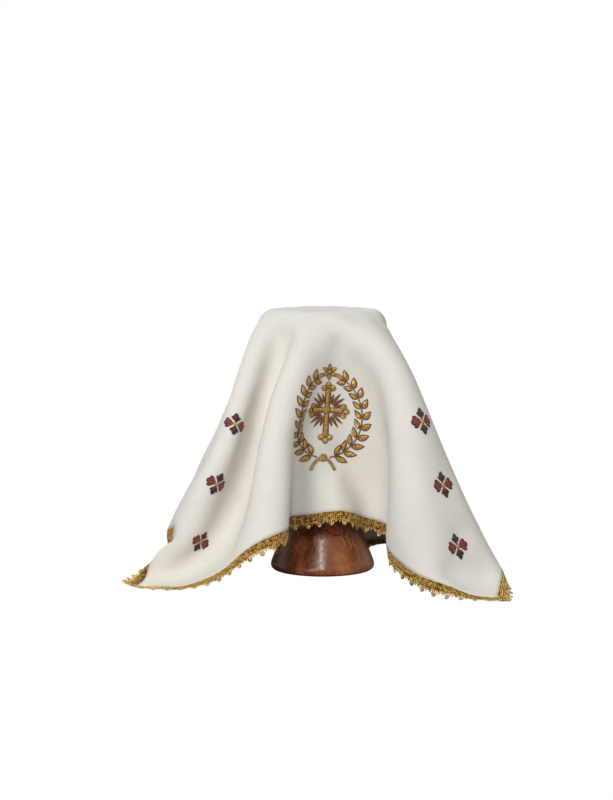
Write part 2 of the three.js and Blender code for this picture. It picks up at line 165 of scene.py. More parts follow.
class Board:
    """The nodes of one material, wired by short calls."""

    def __init__(self, name: str) -> None:
        """Start a material with a principled shader.

        Args:
            name: Name of the material.
        """
        self.material = bpy.data.materials.new(name)
        self.material.use_nodes = True
        self.nodes = self.material.node_tree.nodes
        self.links = self.material.node_tree.links
        self.shader = self.nodes["Principled BSDF"]

    def set(self, **values: Any) -> None:
        """Set constants on the shader's own sockets.

        Args:
            values: Socket names, with underscores for blanks, and their values.
        """
        for key, value in values.items():
            self.shader.inputs[key.replace("_", " ")].default_value = value

    def add(self, kind: str, settings: dict[str, Any] | None = None, **inputs: Any) -> Any:
        """Add a node and fill its sockets.

        Args:
            kind: Blender's name of the node type.
            settings: Properties of the node itself.
            inputs: Socket names, with underscores for blanks, and a value or an output to link.

        Returns:
            The new node.
        """
        node = self.nodes.new(kind)
        for key, value in (settings or {}).items():
            setattr(node, key, value)
        for key, value in inputs.items():
            self.feed(node.inputs[key.replace("_", " ")], value)
        return node

    def feed(self, socket: Any, value: Any) -> None:
        """Link an output to a socket, or set the socket's own value.

        Args:
            socket: The input socket.
            value: An output socket or a constant.
        """
        if isinstance(value, bpy.types.NodeSocket):
            self.links.new(value, socket)
        else:
            socket.default_value = value

    def ramp(self, factor: Any, stops: Sequence[tuple[float, Colour]]) -> Any:
        """Add a colour ramp.

        Args:
            factor: Output that drives the ramp.
            stops: Positions and colours in rising order.

        Returns:
            The ramp's colour output.
        """
        node = self.add("ShaderNodeValToRGB", Fac=factor)
        elements = node.color_ramp.elements
        while len(elements) < len(stops):
            elements.new(0.5)
        for element, (position, colour) in zip(elements, stops):
            element.position = position
            element.color = (*colour, 1.0)
        return node.outputs["Color"]

    def math(self, operation: str, first: Any, second: Any = 0.0) -> Any:
        """Add a sum, product or comparison of two values.

        Args:
            operation: Blender's name of the operation.
            first: First value or output.
            second: Second value or output.

        Returns:
            The result's output.
        """
        node = self.add("ShaderNodeMath", {"operation": operation})
        self.feed(node.inputs[0], first)
        self.feed(node.inputs[1], second)
        return node.outputs["Value"]

    def blend(self, first: Any, share: float, second: Any) -> Any:
        """Add two patterns in shares that make up one.

        Args:
            first: Output with the first pattern.
            share: Share of the first pattern.
            second: Output with the second pattern.

        Returns:
            The blended output.
        """
        rest = self.math("MULTIPLY", second, 1.0 - share)
        return self.math("ADD", self.math("MULTIPLY", first, share), rest)

    def paint(self, factor: Any, *stops: tuple[float, Colour]) -> None:
        """Let a pattern drive the shader's colour.

        Args:
            factor: Output with the pattern.
            stops: Positions and colours in rising order.
        """
        self.feed(self.shader.inputs["Base Color"], self.ramp(factor, stops))

    def wear(self, factor: Any, *stops: tuple[float, float]) -> None:
        """Let a pattern drive the shader's roughness.

        Args:
            factor: Output with the pattern.
            stops: Positions and the roughness there, in rising order.
        """
        greys = [(position, (grey, grey, grey)) for position, grey in stops]
        self.feed(self.shader.inputs["Roughness"], self.ramp(factor, greys))

    def bump(self, height: Any, distance: float, strength: float = 1.0) -> None:
        """Raise the surface by a height pattern.

        Args:
            height: Output with the pattern.
            distance: Height of the pattern in metres.
            strength: Share of the bump that is used.
        """
        node = self.add("ShaderNodeBump", Height=height, Distance=distance, Strength=strength)
        self.links.new(node.outputs["Normal"], self.shader.inputs["Normal"])

    def bands(self, vector: Any, direction: str, pitch: float, wander: float = 0.0) -> Any:
        """Add even bands across a direction.

        Args:
            vector: Coordinates in metres.
            direction: Axis that the bands cross.
            pitch: Distance between two bands in metres.
            wander: How far the bands stray.

        Returns:
            The pattern's output, from 0 to 1.
        """
        node = self.add(
            "ShaderNodeTexWave",
            {"wave_type": "BANDS", "bands_direction": direction},
            Vector=vector,
            Scale=math.pi / 10.0 / pitch,
            Distortion=wander,
            Detail=1.0,
        )
        return node.outputs["Fac"]

    def noise(self, vector: Any, size: float, detail: float = 2.0) -> Any:
        """Add an uneven pattern.

        Args:
            vector: Coordinates in metres.
            size: Size of its spots in metres.
            detail: How many finer layers it has.

        Returns:
            The pattern's output, from 0 to 1.
        """
        node = self.add("ShaderNodeTexNoise", Vector=vector, Scale=1.0 / size, Detail=detail)
        return node.outputs["Fac"]

    def flat(self) -> Any:
        """Give the piece's own flat coordinates, in metres."""
        return self.add("ShaderNodeTexCoord").outputs["UV"]

    def place(self) -> Any:
        """Give the place on the object, in metres."""
        return self.add("ShaderNodeTexCoord").outputs["Object"]


@dataclass(frozen=True)
class CrepeFinish:
    """Ivory crepe: a plain weave of twisted yarn with a fine dry crinkle, a little darker between the yarns
    as painted shade.
    """

    shade: Colour = (0.725, 0.69, 0.62)
    light: Colour = (0.775, 0.742, 0.676)
    yarn: float = 0.0007
    yarn_wander: float = 1.2
    weave_shade_share: float = 0.25
    slub_size: float = 0.035
    crinkle_size: float = 0.0016
    crinkle_rise: float = 2.8
    relief: float = 0.0002

    def make(self) -> bpy.types.Material:
        """Make the material.

        Returns:
            The cloth's material.
        """
        board = Board("ivory_crepe")
        flat = board.flat()
        warp = board.bands(flat, "X", self.yarn, self.yarn_wander)
        weft = board.bands(flat, "Y", self.yarn, self.yarn_wander)
        weave = board.math("MAXIMUM", warp, weft)
        crinkle = board.noise(flat, self.crinkle_size, 3.0)
        # The weave's share of the tone darkens the gaps between the yarns and lightens their crowns:
        # painted shade and painted highlight. The slub noise is random tone.
        tone = board.blend(weave, self.weave_shade_share, board.noise(flat, self.slub_size))
        board.paint(tone, (0.2, self.shade), (0.62, self.light))
        board.wear(crinkle, (0.3, 0.74), (0.7, 0.9))
        height = board.math("ADD", weave, board.math("MULTIPLY", crinkle, self.crinkle_rise))
        board.bump(height, self.relief, 0.7)
        board.set(Sheen_Weight=0.12, Sheen_Roughness=0.5, Specular_IOR_Level=0.25)
        return board.material


@dataclass(frozen=True)
class GoldThreadFinish:
    """Gold metal thread wound on a core, with a painted highlight on its crowns and painted shade between
    them, and random spots of deep and bright gold as painted shade and glints.
    """

    name: str = "gold_thread_painted_light"
    deep: Colour = (0.2, 0.08, 0.012)
    middle: Colour = (0.78, 0.45, 0.09)
    bright: Colour = (1.0, 0.78, 0.3)
    roughness: float = 0.38
    painted_spot_size: float = 0.0026
    painted_spot_share: float = 0.8
    twist_pitch: float = 0.0006
    relief: float = 0.00012

    def make(self) -> bpy.types.Material:
        """Make the material.

        Returns:
            The lace's material.
        """
        board = Board(self.name)
        place = board.place()
        spots = board.noise(place, self.painted_spot_size)
        twist = board.bands(place, "DIAGONAL", self.twist_pitch, 2.0)
        # Spots and twist both drive the colour: painted glints and shade, with painted shade between the
        # twist's crowns.
        tone = board.blend(spots, self.painted_spot_share, twist)
        board.paint(tone, (0.4, self.deep), (0.5, self.middle), (0.6, self.bright))
        board.wear(spots, (0.3, self.roughness + 0.15), (0.7, self.roughness - 0.1))
        board.bump(twist, self.relief, 0.7)
        board.set(Metallic=0.7, Specular_IOR_Level=0.5)
        return board.material


@dataclass(frozen=True)
class SatinStitchFinish:
    """Satin stitch: glossy thread laid side by side over a padded shape, its colour darker between the
    threads and lighter on their crowns as painted shade and highlight, with flecks of deep and bright
    thread as painted shade and glints.
    """

    name: str
    deep: Colour
    bright: Colour
    metallic: float = 0.0
    roughness: float = 0.4
    thread: float = 0.00045
    thread_shade_share: float = 0.35
    painted_fleck_size: float = 0.0022
    relief: float = 0.00014

    def make(self) -> bpy.types.Material:
        """Make the material.

        Returns:
            The stitching's material.
        """
        board = Board(self.name)
        flat = board.flat()
        threads = board.bands(flat, "Y", self.thread, 0.8)
        # Thread bands and flecks drive the colour: painted shade between the threads, painted highlight on
        # their crowns and painted glints in the flecks.
        tone = board.blend(threads, self.thread_shade_share, board.noise(flat, self.painted_fleck_size, 3.0))
        board.paint(tone, (0.34, self.deep), (0.6, self.bright))
        board.wear(threads, (0.0, self.roughness + 0.12), (1.0, self.roughness - 0.08))
        board.bump(threads, self.relief, 0.8)
        board.set(Metallic=self.metallic, Sheen_Weight=0.1)
        return board.material


@dataclass(frozen=True)
class BrownFootFinish:
    """Brown lacquered turning with a fine streaked grain and a dark red pad line at the table."""

    dark: Colour = (0.11, 0.03, 0.01)
    warm: Colour = (0.35, 0.105, 0.035)
    pale: Colour = (0.52, 0.21, 0.085)
    pad: Colour = (0.2, 0.012, 0.012)
    pad_height: float = 0.0016
    figure_size: float = 0.018
    figure_share: float = 0.7
    grain_size: float = 0.0016
    streak: tuple[float, float, float] = (1.0, 1.0, 0.22)
    relief: float = 0.00018

    def make(self) -> bpy.types.Material:
        """Make the material.

        Returns:
            The chalice's material.
        """
        board = Board("brown_lacquer")
        place = board.place()
        long = board.add("ShaderNodeMapping", Vector=place, Scale=self.streak).outputs["Vector"]
        figure = board.noise(long, self.figure_size, 4.0)
        grain = board.noise(long, self.grain_size)
        tone = board.blend(figure, self.figure_share, grain)
        wood = board.ramp(tone, ((0.32, self.dark), (0.5, self.warm), (0.7, self.pale)))
        height = board.add("ShaderNodeSeparateXYZ", Vector=place).outputs["Z"]
        mix = board.add("ShaderNodeMix", {"data_type": "RGBA"})
        factor, over, under = mix.inputs[0], mix.inputs[6], mix.inputs[7]
        board.feed(factor, board.math("LESS_THAN", height, self.pad_height))
        board.feed(over, wood)
        board.feed(under, (*self.pad, 1.0))
        board.feed(board.shader.inputs["Base Color"], mix.outputs[2])
        board.wear(grain, (0.3, 0.19), (0.7, 0.34))
        board.bump(board.math("ADD", grain, figure), self.relief, 0.5)
        board.set(Specular_IOR_Level=0.5)
        return board.material


@dataclass(frozen=True)
class GiltFinish:
    """Satin gilt metal, turned on a lathe."""

    name: str = "satin_gilt"
    deep: Colour = (0.42, 0.25, 0.08)
    bright: Colour = (0.7, 0.5, 0.22)
    rings: float = 260.0
    cloud_size: float = 0.02
    relief: float = 0.00005

    def make(self) -> bpy.types.Material:
        """Make the material.

        Returns:
            The plate's material.
        """
        board = Board(self.name)
        place = board.place()
        turning = board.add(
            "ShaderNodeTexWave",
            {"wave_type": "RINGS", "rings_direction": "Z"},
            Vector=place,
            Scale=self.rings,
            Distortion=0.6,
        ).outputs["Fac"]
        board.paint(board.noise(place, self.cloud_size, 3.0), (0.3, self.deep), (0.7, self.bright))
        board.wear(turning, (0.0, 0.3), (1.0, 0.42))
        board.bump(turning, self.relief, 0.4)
        board.set(Metallic=1.0)
        return board.material


@dataclass(frozen=True)
class TableFinish:
    """Plain pale studio floor, which sends a little light back up."""

    shade: Colour = (0.3, 0.3, 0.295)
    cloud_size: float = 0.4
    cloud_depth: float = 0.99

    def make(self) -> bpy.types.Material:
        """Make the material.

        Returns:
            The floor's material.
        """
        board = Board("pale_floor")
        soft = tuple(self.cloud_depth * part for part in self.shade)
        board.paint(board.noise(board.place(), self.cloud_size), (0.3, soft), (0.7, self.shade))
        board.set(Roughness=0.9, Specular_IOR_Level=0.1)
        return board.material


def add_object(name: str, mesh: bpy.types.Mesh, finishes: Sequence[bpy.types.Material]) -> bpy.types.Object:
    """Put a mesh into the scene as a piece that rides on the one body.

    Args:
        name: Name of the piece.
        mesh: Its mesh, in the row's frame.
        finishes: Its materials, in slot order.

    Returns:
        The new object.
    """
    mesh.name = name
    for finish in finishes:
        mesh.materials.append(finish)
    mesh.polygons.foreach_set("use_smooth", [True] * len(mesh.polygons))
    piece = bpy.data.objects.new(name, mesh)
    bpy.context.scene.collection.objects.link(piece)
    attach(piece, BODY)
    LOG.info("%s: %d faces", name, len(mesh.polygons))
    return piece


def to_mesh(bench: bmesh.types.BMesh, name: str) -> bpy.types.Mesh:
    """Turn a finished bmesh into a mesh and free it.

    Args:
        bench: The bmesh.
        name: Name of the mesh.

    Returns:
        The mesh.
    """
    mesh = bpy.data.meshes.new(name)
    bench.to_mesh(mesh)
    bench.free()
    return mesh


@dataclass
class Drape:
    """The square of cloth let down over the paten and the chalice, thread by thread."""

    half: float = VEIL_HALF
    lace: float = LACE_DEPTH
    cells: int = 40
    back_shift: float = 10.0
    top_z: float = 257.0
    round_radius: float = 62.0
    round_edge: float = 12.0
    round_depth: float = 14.0
    table_z: float = 1.2
    table_grip: float = 0.5
    body_clear: float = 6.0
    start_lift: float = 0.5
    start_bow: float = 0.0004
    steps: int = 260
    sweeps: int = 22
    weight: float = 0.35
    damping: float = 0.93
    most_move: float = 6.0
    shear_hold: float = 0.35
    bend_hold: float = 0.06
    long_bend: float = 0.5
    hand_firm: float = 0.25
    hand_light: float = 0.08
    release: float = 0.6
    lead_pace: float = 0.75
    release_pace: float = 1.25
    ease_rounds: int = 4
    ease_sweeps: int = 4
    ease_pull: float = 0.5
    ease_from: float = 75.0
    ease_over: float = 30.0

    def lines(self) -> Array:
        """Give the flat places of the grid's threads, the lace's outer line at each end.

        Returns:
            Places in millimetres, in rising order.
        """
        inner = np.linspace(-self.half, self.half, self.cells + 1)
        edge = self.half + self.lace
        return np.concatenate([[-edge], inner, [edge]])

    def threads(self, flat: Array) -> Threads:
        """List the threads that hold the cloth together, in sets that share no point.

        Args:
            flat: Flat places of the grid's points.

        Returns:
            Slices of both ends, lengths and firmness of each set.
        """
        count = len(flat)
        whole = slice(None)

        def ends(step: int, start: int = 0, every: int = 1) -> tuple[slice, slice]:
            """Give the slices of both ends of a set of threads."""
            return slice(start, count - step, every), slice(start + step, count, every)

        pairs: list[tuple[Any, Any, float]] = []
        for start in (0, 1):
            a, b = ends(1, start, 2)
            pairs.append(((a, whole), (b, whole), 1.0))
            pairs.append(((whole, a), (whole, b), 1.0))
        a, b = ends(1)
        pairs.append(((a, a), (b, b), self.shear_hold))
        pairs.append(((a, b), (b, a), self.shear_hold))
        for step, firm in ((2, self.bend_hold), (4, self.bend_hold * self.long_bend)):
            a, b = ends(step)
            pairs.append(((a, whole), (b, whole), firm))
            pairs.append(((whole, a), (whole, b), firm))
        return [(a, b, np.linalg.norm(flat[b] - flat[a], axis=-1), firm) for a, b, firm in pairs]

    @staticmethod
    def tighten(points: Array, threads: Threads) -> None:
        """Pull the ends of every thread towards its length.

        Args:
            points: Points of the cloth, changed in place.
            threads: Thread sets.
        """
        for a, b, rest, firm in threads:
            move = points[b] - points[a]
            length = np.sqrt(np.einsum("ijk,ijk->ij", move, move))
            move *= (0.5 * firm * (1 - rest / np.maximum(length, TINY)))[..., None]
            points[a] += move
            points[b] -= move

    def keep_clear(self, points: Array, before: Array) -> None:
        """Keep the cloth out of the round top, the chalice and the table.

        Args:
            points: Points of the cloth, changed in place.
            before: Their places at the last step, for the grip of the table.
        """
        x, y, z = points[..., 0], points[..., 1], points[..., 2]
        radius = np.sqrt(x * x + y * y) + TINY
        inner, centre = self.round_radius - self.round_edge, self.top_z - self.round_edge
        beyond = np.maximum(radius - inner, 0)
        above = z - centre
        near = (radius < self.round_radius) & (z < self.top_z) & (z > self.top_z - self.round_depth)
        reach = np.sqrt(beyond**2 + np.maximum(above, 0) ** 2) + TINY
        flat = near & (beyond <= 0) & (above > 0)
        rim = near & (beyond > 0) & (above > 0) & (reach < self.round_edge)
        side = near & (above <= 0)
        grow = self.round_edge / reach
        at_side = np.where(side, self.round_radius / radius, 1.0)
        scale = np.where(rim, (inner + beyond * grow) / radius, at_side)
        z = np.where(flat, self.top_z, np.where(rim, centre + above * grow, z))
        heights, radii = zip(*CHALICE_OUTLINE)
        body = np.interp(z, heights, radii) + self.body_clear
        scale = np.where((radius < body) & (z < self.top_z - self.round_depth), body / radius, scale)
        points[..., 0] *= scale
        points[..., 1] *= scale
        down = z < self.table_z
        points[..., 2] = np.where(down, self.table_z, z)
        grip = np.where(down, self.table_grip, 1.0)[..., None]
        points[..., :2] = before[..., :2] + grip * (points[..., :2] - before[..., :2])

    @staticmethod
    def ease(points: Array, share: Array) -> Array:
        """Take out small dents: move each point part of the way to the middle of its neighbours.

        Args:
            points: Points of the cloth.
            share: How far each point moves, from 0 to 1.

        Returns:
            The eased points.
        """
        inner, low, high = slice(2, -2), slice(1, -3), slice(3, -1)
        move = np.zeros_like(points)
        beside = points[low, inner] + points[high, inner] + points[inner, low] + points[inner, high]
        move[inner, inner] = beside / 4 - points[inner, inner]
        for k in (0, 1, -2, -1):
            move[k, inner] = (points[k, low] + points[k, high]) / 2 - points[k, inner]
            move[inner, k] = (points[low, k] + points[high, k]) / 2 - points[inner, k]
        return points + move * share

    def settle(self) -> Array:
        """Let the cloth down until it hangs.

        Returns:
            The grid of settled points in millimetres.
        """
        lines = self.lines()
        u, v = np.meshgrid(lines, lines, indexing="ij")
        flat = np.stack([u, v, np.zeros_like(u)], -1)
        spread = np.hypot(u, v + self.back_shift)
        points = np.stack([u, v + self.back_shift, np.full_like(u, self.top_z + self.start_lift)], -1)
        points[..., 2] -= self.start_bow * np.maximum(spread - self.round_radius, 0) ** 2
        top = points.copy()
        top[..., 2] = self.top_z
        held = spread < self.round_radius - self.round_edge
        threads = self.threads(flat)
        rows = np.array(list(FOLDS.values()), float)
        hands = tuple(np.abs(lines[None, :] - rows[:, k : k + 1]).argmin(1) for k in (0, 1))
        first = points[hands].copy()
        before = points.copy()
        for step in range(self.steps):
            share = min(1.0, step / (self.steps * self.release * self.lead_pace))
            goal = first + (rows[:, 2:] - first) * (share * share * (3 - 2 * share))
            late = max(0.0, step / self.steps - self.release) / (1 - self.release)
            grasp = max(0.0, 1 - self.release_pace * late)
            firm = self.hand_light + (self.hand_firm - self.hand_light) * grasp
            move = (points - before) * self.damping
            speed = np.sqrt((move * move).sum(-1, keepdims=True))
            move *= np.minimum(1, self.most_move / np.maximum(speed, TINY))
            before = points.copy()
            points = points + move
            points[..., 2] -= self.weight
            for _ in range(self.sweeps):
                points[hands] += (goal - points[hands]) * firm
                self.tighten(points, threads)
                points[held] = top[held]
                self.keep_clear(points, before)
        share = self.ease_pull * np.clip((spread - self.ease_from) / self.ease_over, 0, 1)[..., None]
        for _ in range(self.ease_rounds):
            points = self.ease(points, share)
            for _ in range(self.ease_sweeps):
                self.tighten(points, threads)
                points[held] = top[held]
                self.keep_clear(points, points.copy())
        return points


@dataclass
class ClothSurface:
    """A smooth surface through the settled points, read by flat cloth places in millimetres."""

    lines: Array
    points: Array
    pulls: Array = field(init=False)

    def __post_init__(self) -> None:
        """Work out the pulls of a spline that passes through every point."""
        count = len(self.lines)
        through = np.zeros((count, count))
        for row in range(1, count - 1):
            through[row, row - 1 : row + 2] = (1 / 6, 4 / 6, 1 / 6)
        through[0, 0] = through[-1, -1] = 1
        undo = np.linalg.inv(through)
        inner = np.einsum("ai,bj,ijk->abk", undo, undo, self.points)
        pulls = np.zeros((count + 2, count + 2, 3))
        pulls[1:-1, 1:-1] = inner
        pulls[0, 1:-1] = 2 * inner[0] - inner[1]
        pulls[-1, 1:-1] = 2 * inner[-1] - inner[-2]
        pulls[:, 0] = 2 * pulls[:, 1] - pulls[:, 2]
        pulls[:, -1] = 2 * pulls[:, -2] - pulls[:, -3]
        self.pulls = pulls

    @staticmethod
    def shares(t: Array) -> tuple[Array, Array]:
        """Give the four spline shares at a place in a cell, and how fast they change.

        Args:
            t: Places from 0 to 1.

        Returns:
            Shares and slopes, the four in the last axis.
        """
        value = ((1 - t) ** 3, 3 * t**3 - 6 * t**2 + 4, -3 * t**3 + 3 * t**2 + 3 * t + 1, t**3)
        slope = (-3 * (1 - t) ** 2, 9 * t**2 - 12 * t, -9 * t**2 + 6 * t + 3, 3 * t**2)
        return np.stack(value, -1) / 6, np.stack(slope, -1) / 6

    def wrap(self, flat: Array) -> Array:
        """Lay flat points on the folds.

        Args:
            flat: Points as width, length and height above the cloth's middle, in millimetres.

        Returns:
            Their places in metres.
        """
        count = len(self.lines)
        steps = [np.interp(flat[:, k], self.lines, np.arange(count)) for k in (0, 1)]
        cells = [np.clip(step.astype(int), 0, count - 2) for step in steps]
        (su, du), (sv, dv) = (self.shares(step - cell) for step, cell in zip(steps, cells))
        place = np.zeros((len(flat), 3))
        along_u = np.zeros_like(place)
        along_v = np.zeros_like(place)
        for i in range(4):
            for j in range(4):
                pull = self.pulls[cells[0] + i, cells[1] + j]
                place += (su[:, i] * sv[:, j])[:, None] * pull
                along_u += (du[:, i] * sv[:, j])[:, None] * pull
                along_v += (su[:, i] * dv[:, j])[:, None] * pull
        normal = np.cross(along_u, along_v)
        normal /= np.maximum(np.linalg.norm(normal, axis=1, keepdims=True), TINY)
        return (place + normal * flat[:, 2:3]) * MM

    def lay(self, mesh: bpy.types.Mesh) -> None:
        """Lay a mesh that was modelled flat on the folds.

        Args:
            mesh: Mesh with flat places in millimetres, changed in place.
        """
        flat = np.empty(len(mesh.vertices) * 3)
        mesh.vertices.foreach_get("co", flat)
        mesh.vertices.foreach_set("co", self.wrap(flat.reshape(-1, 3)).ravel())
        mesh.update()


@dataclass
class VeilCloth:
    """The square of crepe, given its thickness."""

    half: float = VEIL_HALF
    cells: int = 160
    thickness: float = 1.2
    finish: CrepeFinish = CrepeFinish()

    def build(self, surface: ClothSurface) -> bpy.types.Object:
        """Model the cloth flat and lay it on its folds.

        Args:
            surface: The settled cloth.

        Returns:
            The cloth's piece.
        """
        bench = bmesh.new()
        bmesh.ops.create_grid(bench, x_segments=self.cells, y_segments=self.cells, size=self.half)
        plan = bench.loops.layers.uv.new("flat")
        for face in bench.faces:
            for loop in face.loops:
                loop[plan].uv = (loop.vert.co.x * MM, loop.vert.co.y * MM)
        mesh = to_mesh(bench, "veil_crepe")
        surface.lay(mesh)
        piece = add_object("veil_crepe", mesh, [self.finish.make()])
        wall = piece.modifiers.new("thickness", "SOLIDIFY")
        wall.thickness = self.thickness * MM
        wall.offset = 0.0
        return piece

    def dress(self, piece: bpy.types.Object, trims: Sequence[bpy.types.Object]) -> None:
        """Hide the cloth's solid, which the crepe piece stands in for.

        Args:
            piece: The cloth's piece; not used.
            trims: Lace and needlework on it.
        """
        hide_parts("veil_cloth")
        list(trims)


class Hem(Enum):
    """The four hems of the square: the way each faces and the way it runs."""

    FRONT = ((0.0, -1.0), (1.0, 0.0))
    RIGHT = ((1.0, 0.0), (0.0, 1.0))
    BACK = ((0.0, 1.0), (-1.0, 0.0))
    LEFT = ((-1.0, 0.0), (0.0, -1.0))

    @property
    def out(self) -> Array:
        """The way that the hem faces."""
        return np.array(self.value[0])

    @property
    def along(self) -> Array:
        """The way that the hem runs."""
        return np.array(self.value[1])


@dataclass
class LaceEdging:
    """Gold lace sewn round the hems: a dense braid and a row of pointed picots."""

    half: float = VEIL_HALF
    pitch: float = 13.0
    braid_start: float = 0.1
    braid_reach: float = 8.2
    braid_rows: tuple[float, ...] = (0.5, 2.3, 4.1, 5.9, 7.7)
    braid_step: float = 1.95
    braid_turn: float = 40.0
    ribbon_thick: float = 0.6
    corner_bends: int = 5
    # Half sizes of a stitch: along its thread, across it and upright.
    stitch: tuple[float, float, float] = (1.2, 0.66, 0.85)
    picot_stitch: tuple[float, float, float] = (1.15, 0.92, 0.7)
    picot_fan: float = 0.07
    # One picot, row by row: reach, then the places of its stitches to the side.
    picot: tuple[tuple[float, tuple[float, ...]], ...] = (
        (8.8, (-5.5, -3.7, -1.85, 0.0, 1.85, 3.7, 5.5)),
        (10.2, (-4.5, -1.9, 0.0, 1.9, 4.5)),
        (11.6, (-1.8, 0.0, 1.8)),
        (12.8, (-0.9, 0.9)),
        (13.6, (0.0,)),
    )
    # Picots round a corner: degrees from the hem's own way out, and how much longer each one is.
    corner_points: tuple[Point, ...] = ((16.0, -1.0), (45.0, 3.5), (74.0, -1.0))
    thread: GoldThreadFinish = GoldThreadFinish()
    # The ground is near black: painted shade that shows in the gaps between the stitches.
    ground: GoldThreadFinish = GoldThreadFinish(
        "lace_ground_painted_shade", (0.07, 0.028, 0.005), (0.2, 0.095, 0.018), (0.4, 0.22, 0.05), roughness=0.6
    )

    def row(self, reach: float, step: float, turn: float) -> list[Array]:
        """Lay one row of stitches round all four hems.

        Args:
            reach: Distance of the row from the cloth's edge.
            step: Distance between two stitches.
            turn: Lie of the stitches against the row, in degrees.

        Returns:
            One line a stitch: place, lie and half sizes.
        """
        count = round(2 * self.half / step)
        stitches = []
        for hem in Hem:
            run = math.atan2(hem.along[1], hem.along[0])
            for k in range(count):
                s = self.half * (2 * (k + 0.5) / count - 1)
                at = hem.out * (self.half + reach) + hem.along * s
                stitches.append(np.array([*at, 0.0, run + math.radians(turn), *self.stitch]))
            bends = round(reach * math.pi / 2 / step)
            for k in range(bends):
                bend = math.pi / 2 * (k + 0.5) / bends
                way = hem.out * math.cos(bend) + hem.along * math.sin(bend)
                at = (hem.out + hem.along) * self.half + way * reach
                stitches.append(np.array([*at, 0.0, run + bend + math.radians(turn), *self.stitch]))
        return stitches

    def point(self, origin: Array, out: Array, along: Array, longer: float) -> list[Array]:
        """Lay the stitches of one picot.

        Args:
            origin: Place on the cloth's edge under its middle.
            out: The way that it points.
            along: The way that the hem runs there.
            longer: How much further than the others it reaches.

        Returns:
            One line a stitch: place, lie and half sizes.
        """
        face = math.atan2(out[1], out[0])
        stitches = []
        for reach, places in self.picot:
            for aside in places:
                at = origin + along * aside + out * (reach + longer)
                stitches.append(np.array([*at, 0.0, face + self.picot_fan * aside, *self.picot_stitch]))
        return stitches

    def points(self) -> list[Array]:
        """Lay the picots along the hems and round the corners.

        Returns:
            One line a stitch: place, lie and half sizes.
        """
        count = round(2 * self.half / self.pitch)
        stitches: list[Array] = []
        for hem in Hem:
            for k in range(count):
                s = -self.half + self.pitch * (k + 0.5)
                stitches += self.point(hem.out * self.half + hem.along * s, hem.out, hem.along, 0.0)
            corner = (hem.out + hem.along) * self.half
            for angle, longer in self.corner_points:
                turn = math.radians(angle)
                way = hem.out * math.cos(turn) + hem.along * math.sin(turn)
                across = hem.along * math.cos(turn) - hem.out * math.sin(turn)
                stitches += self.point(corner, way, across, longer)
        return stitches

    @staticmethod
    def beads(stitches: list[Array], name: str) -> bpy.types.Mesh:
        """Make one mesh of many copies of a bead, one for each stitch, still flat.

        Args:
            stitches: One line a stitch: place, lie and half sizes.
            name: Name of the mesh.

        Returns:
            The mesh.
        """
        bench = bmesh.new()
        bmesh.ops.create_icosphere(bench, subdivisions=1, radius=1.0)
        form = np.array([vert.co for vert in bench.verts])
        sides = np.array([[vert.index for vert in face.verts] for face in bench.faces])
        bench.free()
        # There are thousands of stitches, so the bead is copied for all of them at once.
        lines = np.array(stitches)
        body = form[None] * lines[:, None, 4:7]
        turn_x, turn_y = np.cos(lines[:, 3, None]), np.sin(lines[:, 3, None])
        across = body[..., 0] * turn_x - body[..., 1] * turn_y
        along = body[..., 0] * turn_y + body[..., 1] * turn_x
        spots = np.stack([across, along, body[..., 2]], -1) + lines[:, None, :3]
        faces = sides[None] + (np.arange(len(lines)) * len(form))[:, None, None]
        mesh = bpy.data.meshes.new(name)
        mesh.from_pydata(spots.reshape(-1, 3).tolist(), [], faces.reshape(-1, 3).tolist())
        return mesh

    def ribbon(self, bench: bmesh.types.BMesh) -> None:
        """Model the ground of the braid as one flat ring round the hems.

        Args:
            bench: The bmesh it goes into.
        """
        count = round(2 * self.half / self.pitch) * 2
        loops: list[list[bmesh.types.BMEdge]] = []
        for reach in (self.braid_start, self.braid_reach):
            verts = []
            for hem in Hem:
                for k in range(count):
                    s = -self.half + 2 * self.half * k / count
                    verts.append(bench.verts.new((*(hem.out * (self.half + reach) + hem.along * s), 0.0)))
                corner = (hem.out + hem.along) * self.half
                for bend in np.linspace(0, math.pi / 2, self.corner_bends + 1)[:-1]:
                    way = hem.out * math.cos(bend) + hem.along * math.sin(bend)
                    verts.append(bench.verts.new((*(corner + way * reach), 0.0)))
            loops.append([bench.edges.new((a, b)) for a, b in zip(verts, verts[1:] + verts[:1])])
        made = bmesh.ops.bridge_loops(bench, edges=loops[0] + loops[1])
        bmesh.ops.recalc_face_normals(bench, faces=bench.faces)
        lift = Vector((0, 0, -self.ribbon_thick / 2))
        bmesh.ops.translate(bench, verts=bench.verts, vec=lift)
        grown = bmesh.ops.extrude_face_region(bench, geom=made["faces"])
        raised = [part for part in grown["geom"] if isinstance(part, bmesh.types.BMVert)]
        bmesh.ops.translate(bench, verts=raised, vec=-2 * lift)
        bmesh.ops.recalc_face_normals(bench, faces=bench.faces)

    def build(self, surface: ClothSurface) -> list[bpy.types.Object]:
        """Model the lace flat and lay it on the folds.

        Args:
            surface: The settled cloth.

        Returns:
            The braid and the picots.
        """
        stitches: list[Array] = []
        for place, reach in enumerate(self.braid_rows):
            turn = self.braid_turn if place % 2 else -self.braid_turn
            stitches += self.row(reach, self.braid_step, turn)
        braid = self.beads(stitches, "lace_braid")
        bench = bmesh.new()
        self.ribbon(bench)
        # The ribbon takes the dark ground finish, painted shade in the gaps between the stitches.
        for face in bench.faces:
            face.material_index = 1
        bench.from_mesh(braid)
        bpy.data.meshes.remove(braid)
        finishes = [self.thread.make(), self.ground.make()]
        pieces = []
        for name, mesh in (
            ("lace_braid", to_mesh(bench, "lace_braid")),
            ("lace_picots", self.beads(self.points(), "lace_picots")),
        ):
            surface.lay(mesh)
            pieces.append(add_object(name, mesh, finishes))
        return pieces

    def dress(self, pieces: Sequence[bpy.types.Object]) -> None:
        """Hide the solid that the lace stands for."""
        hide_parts("lace_edging")


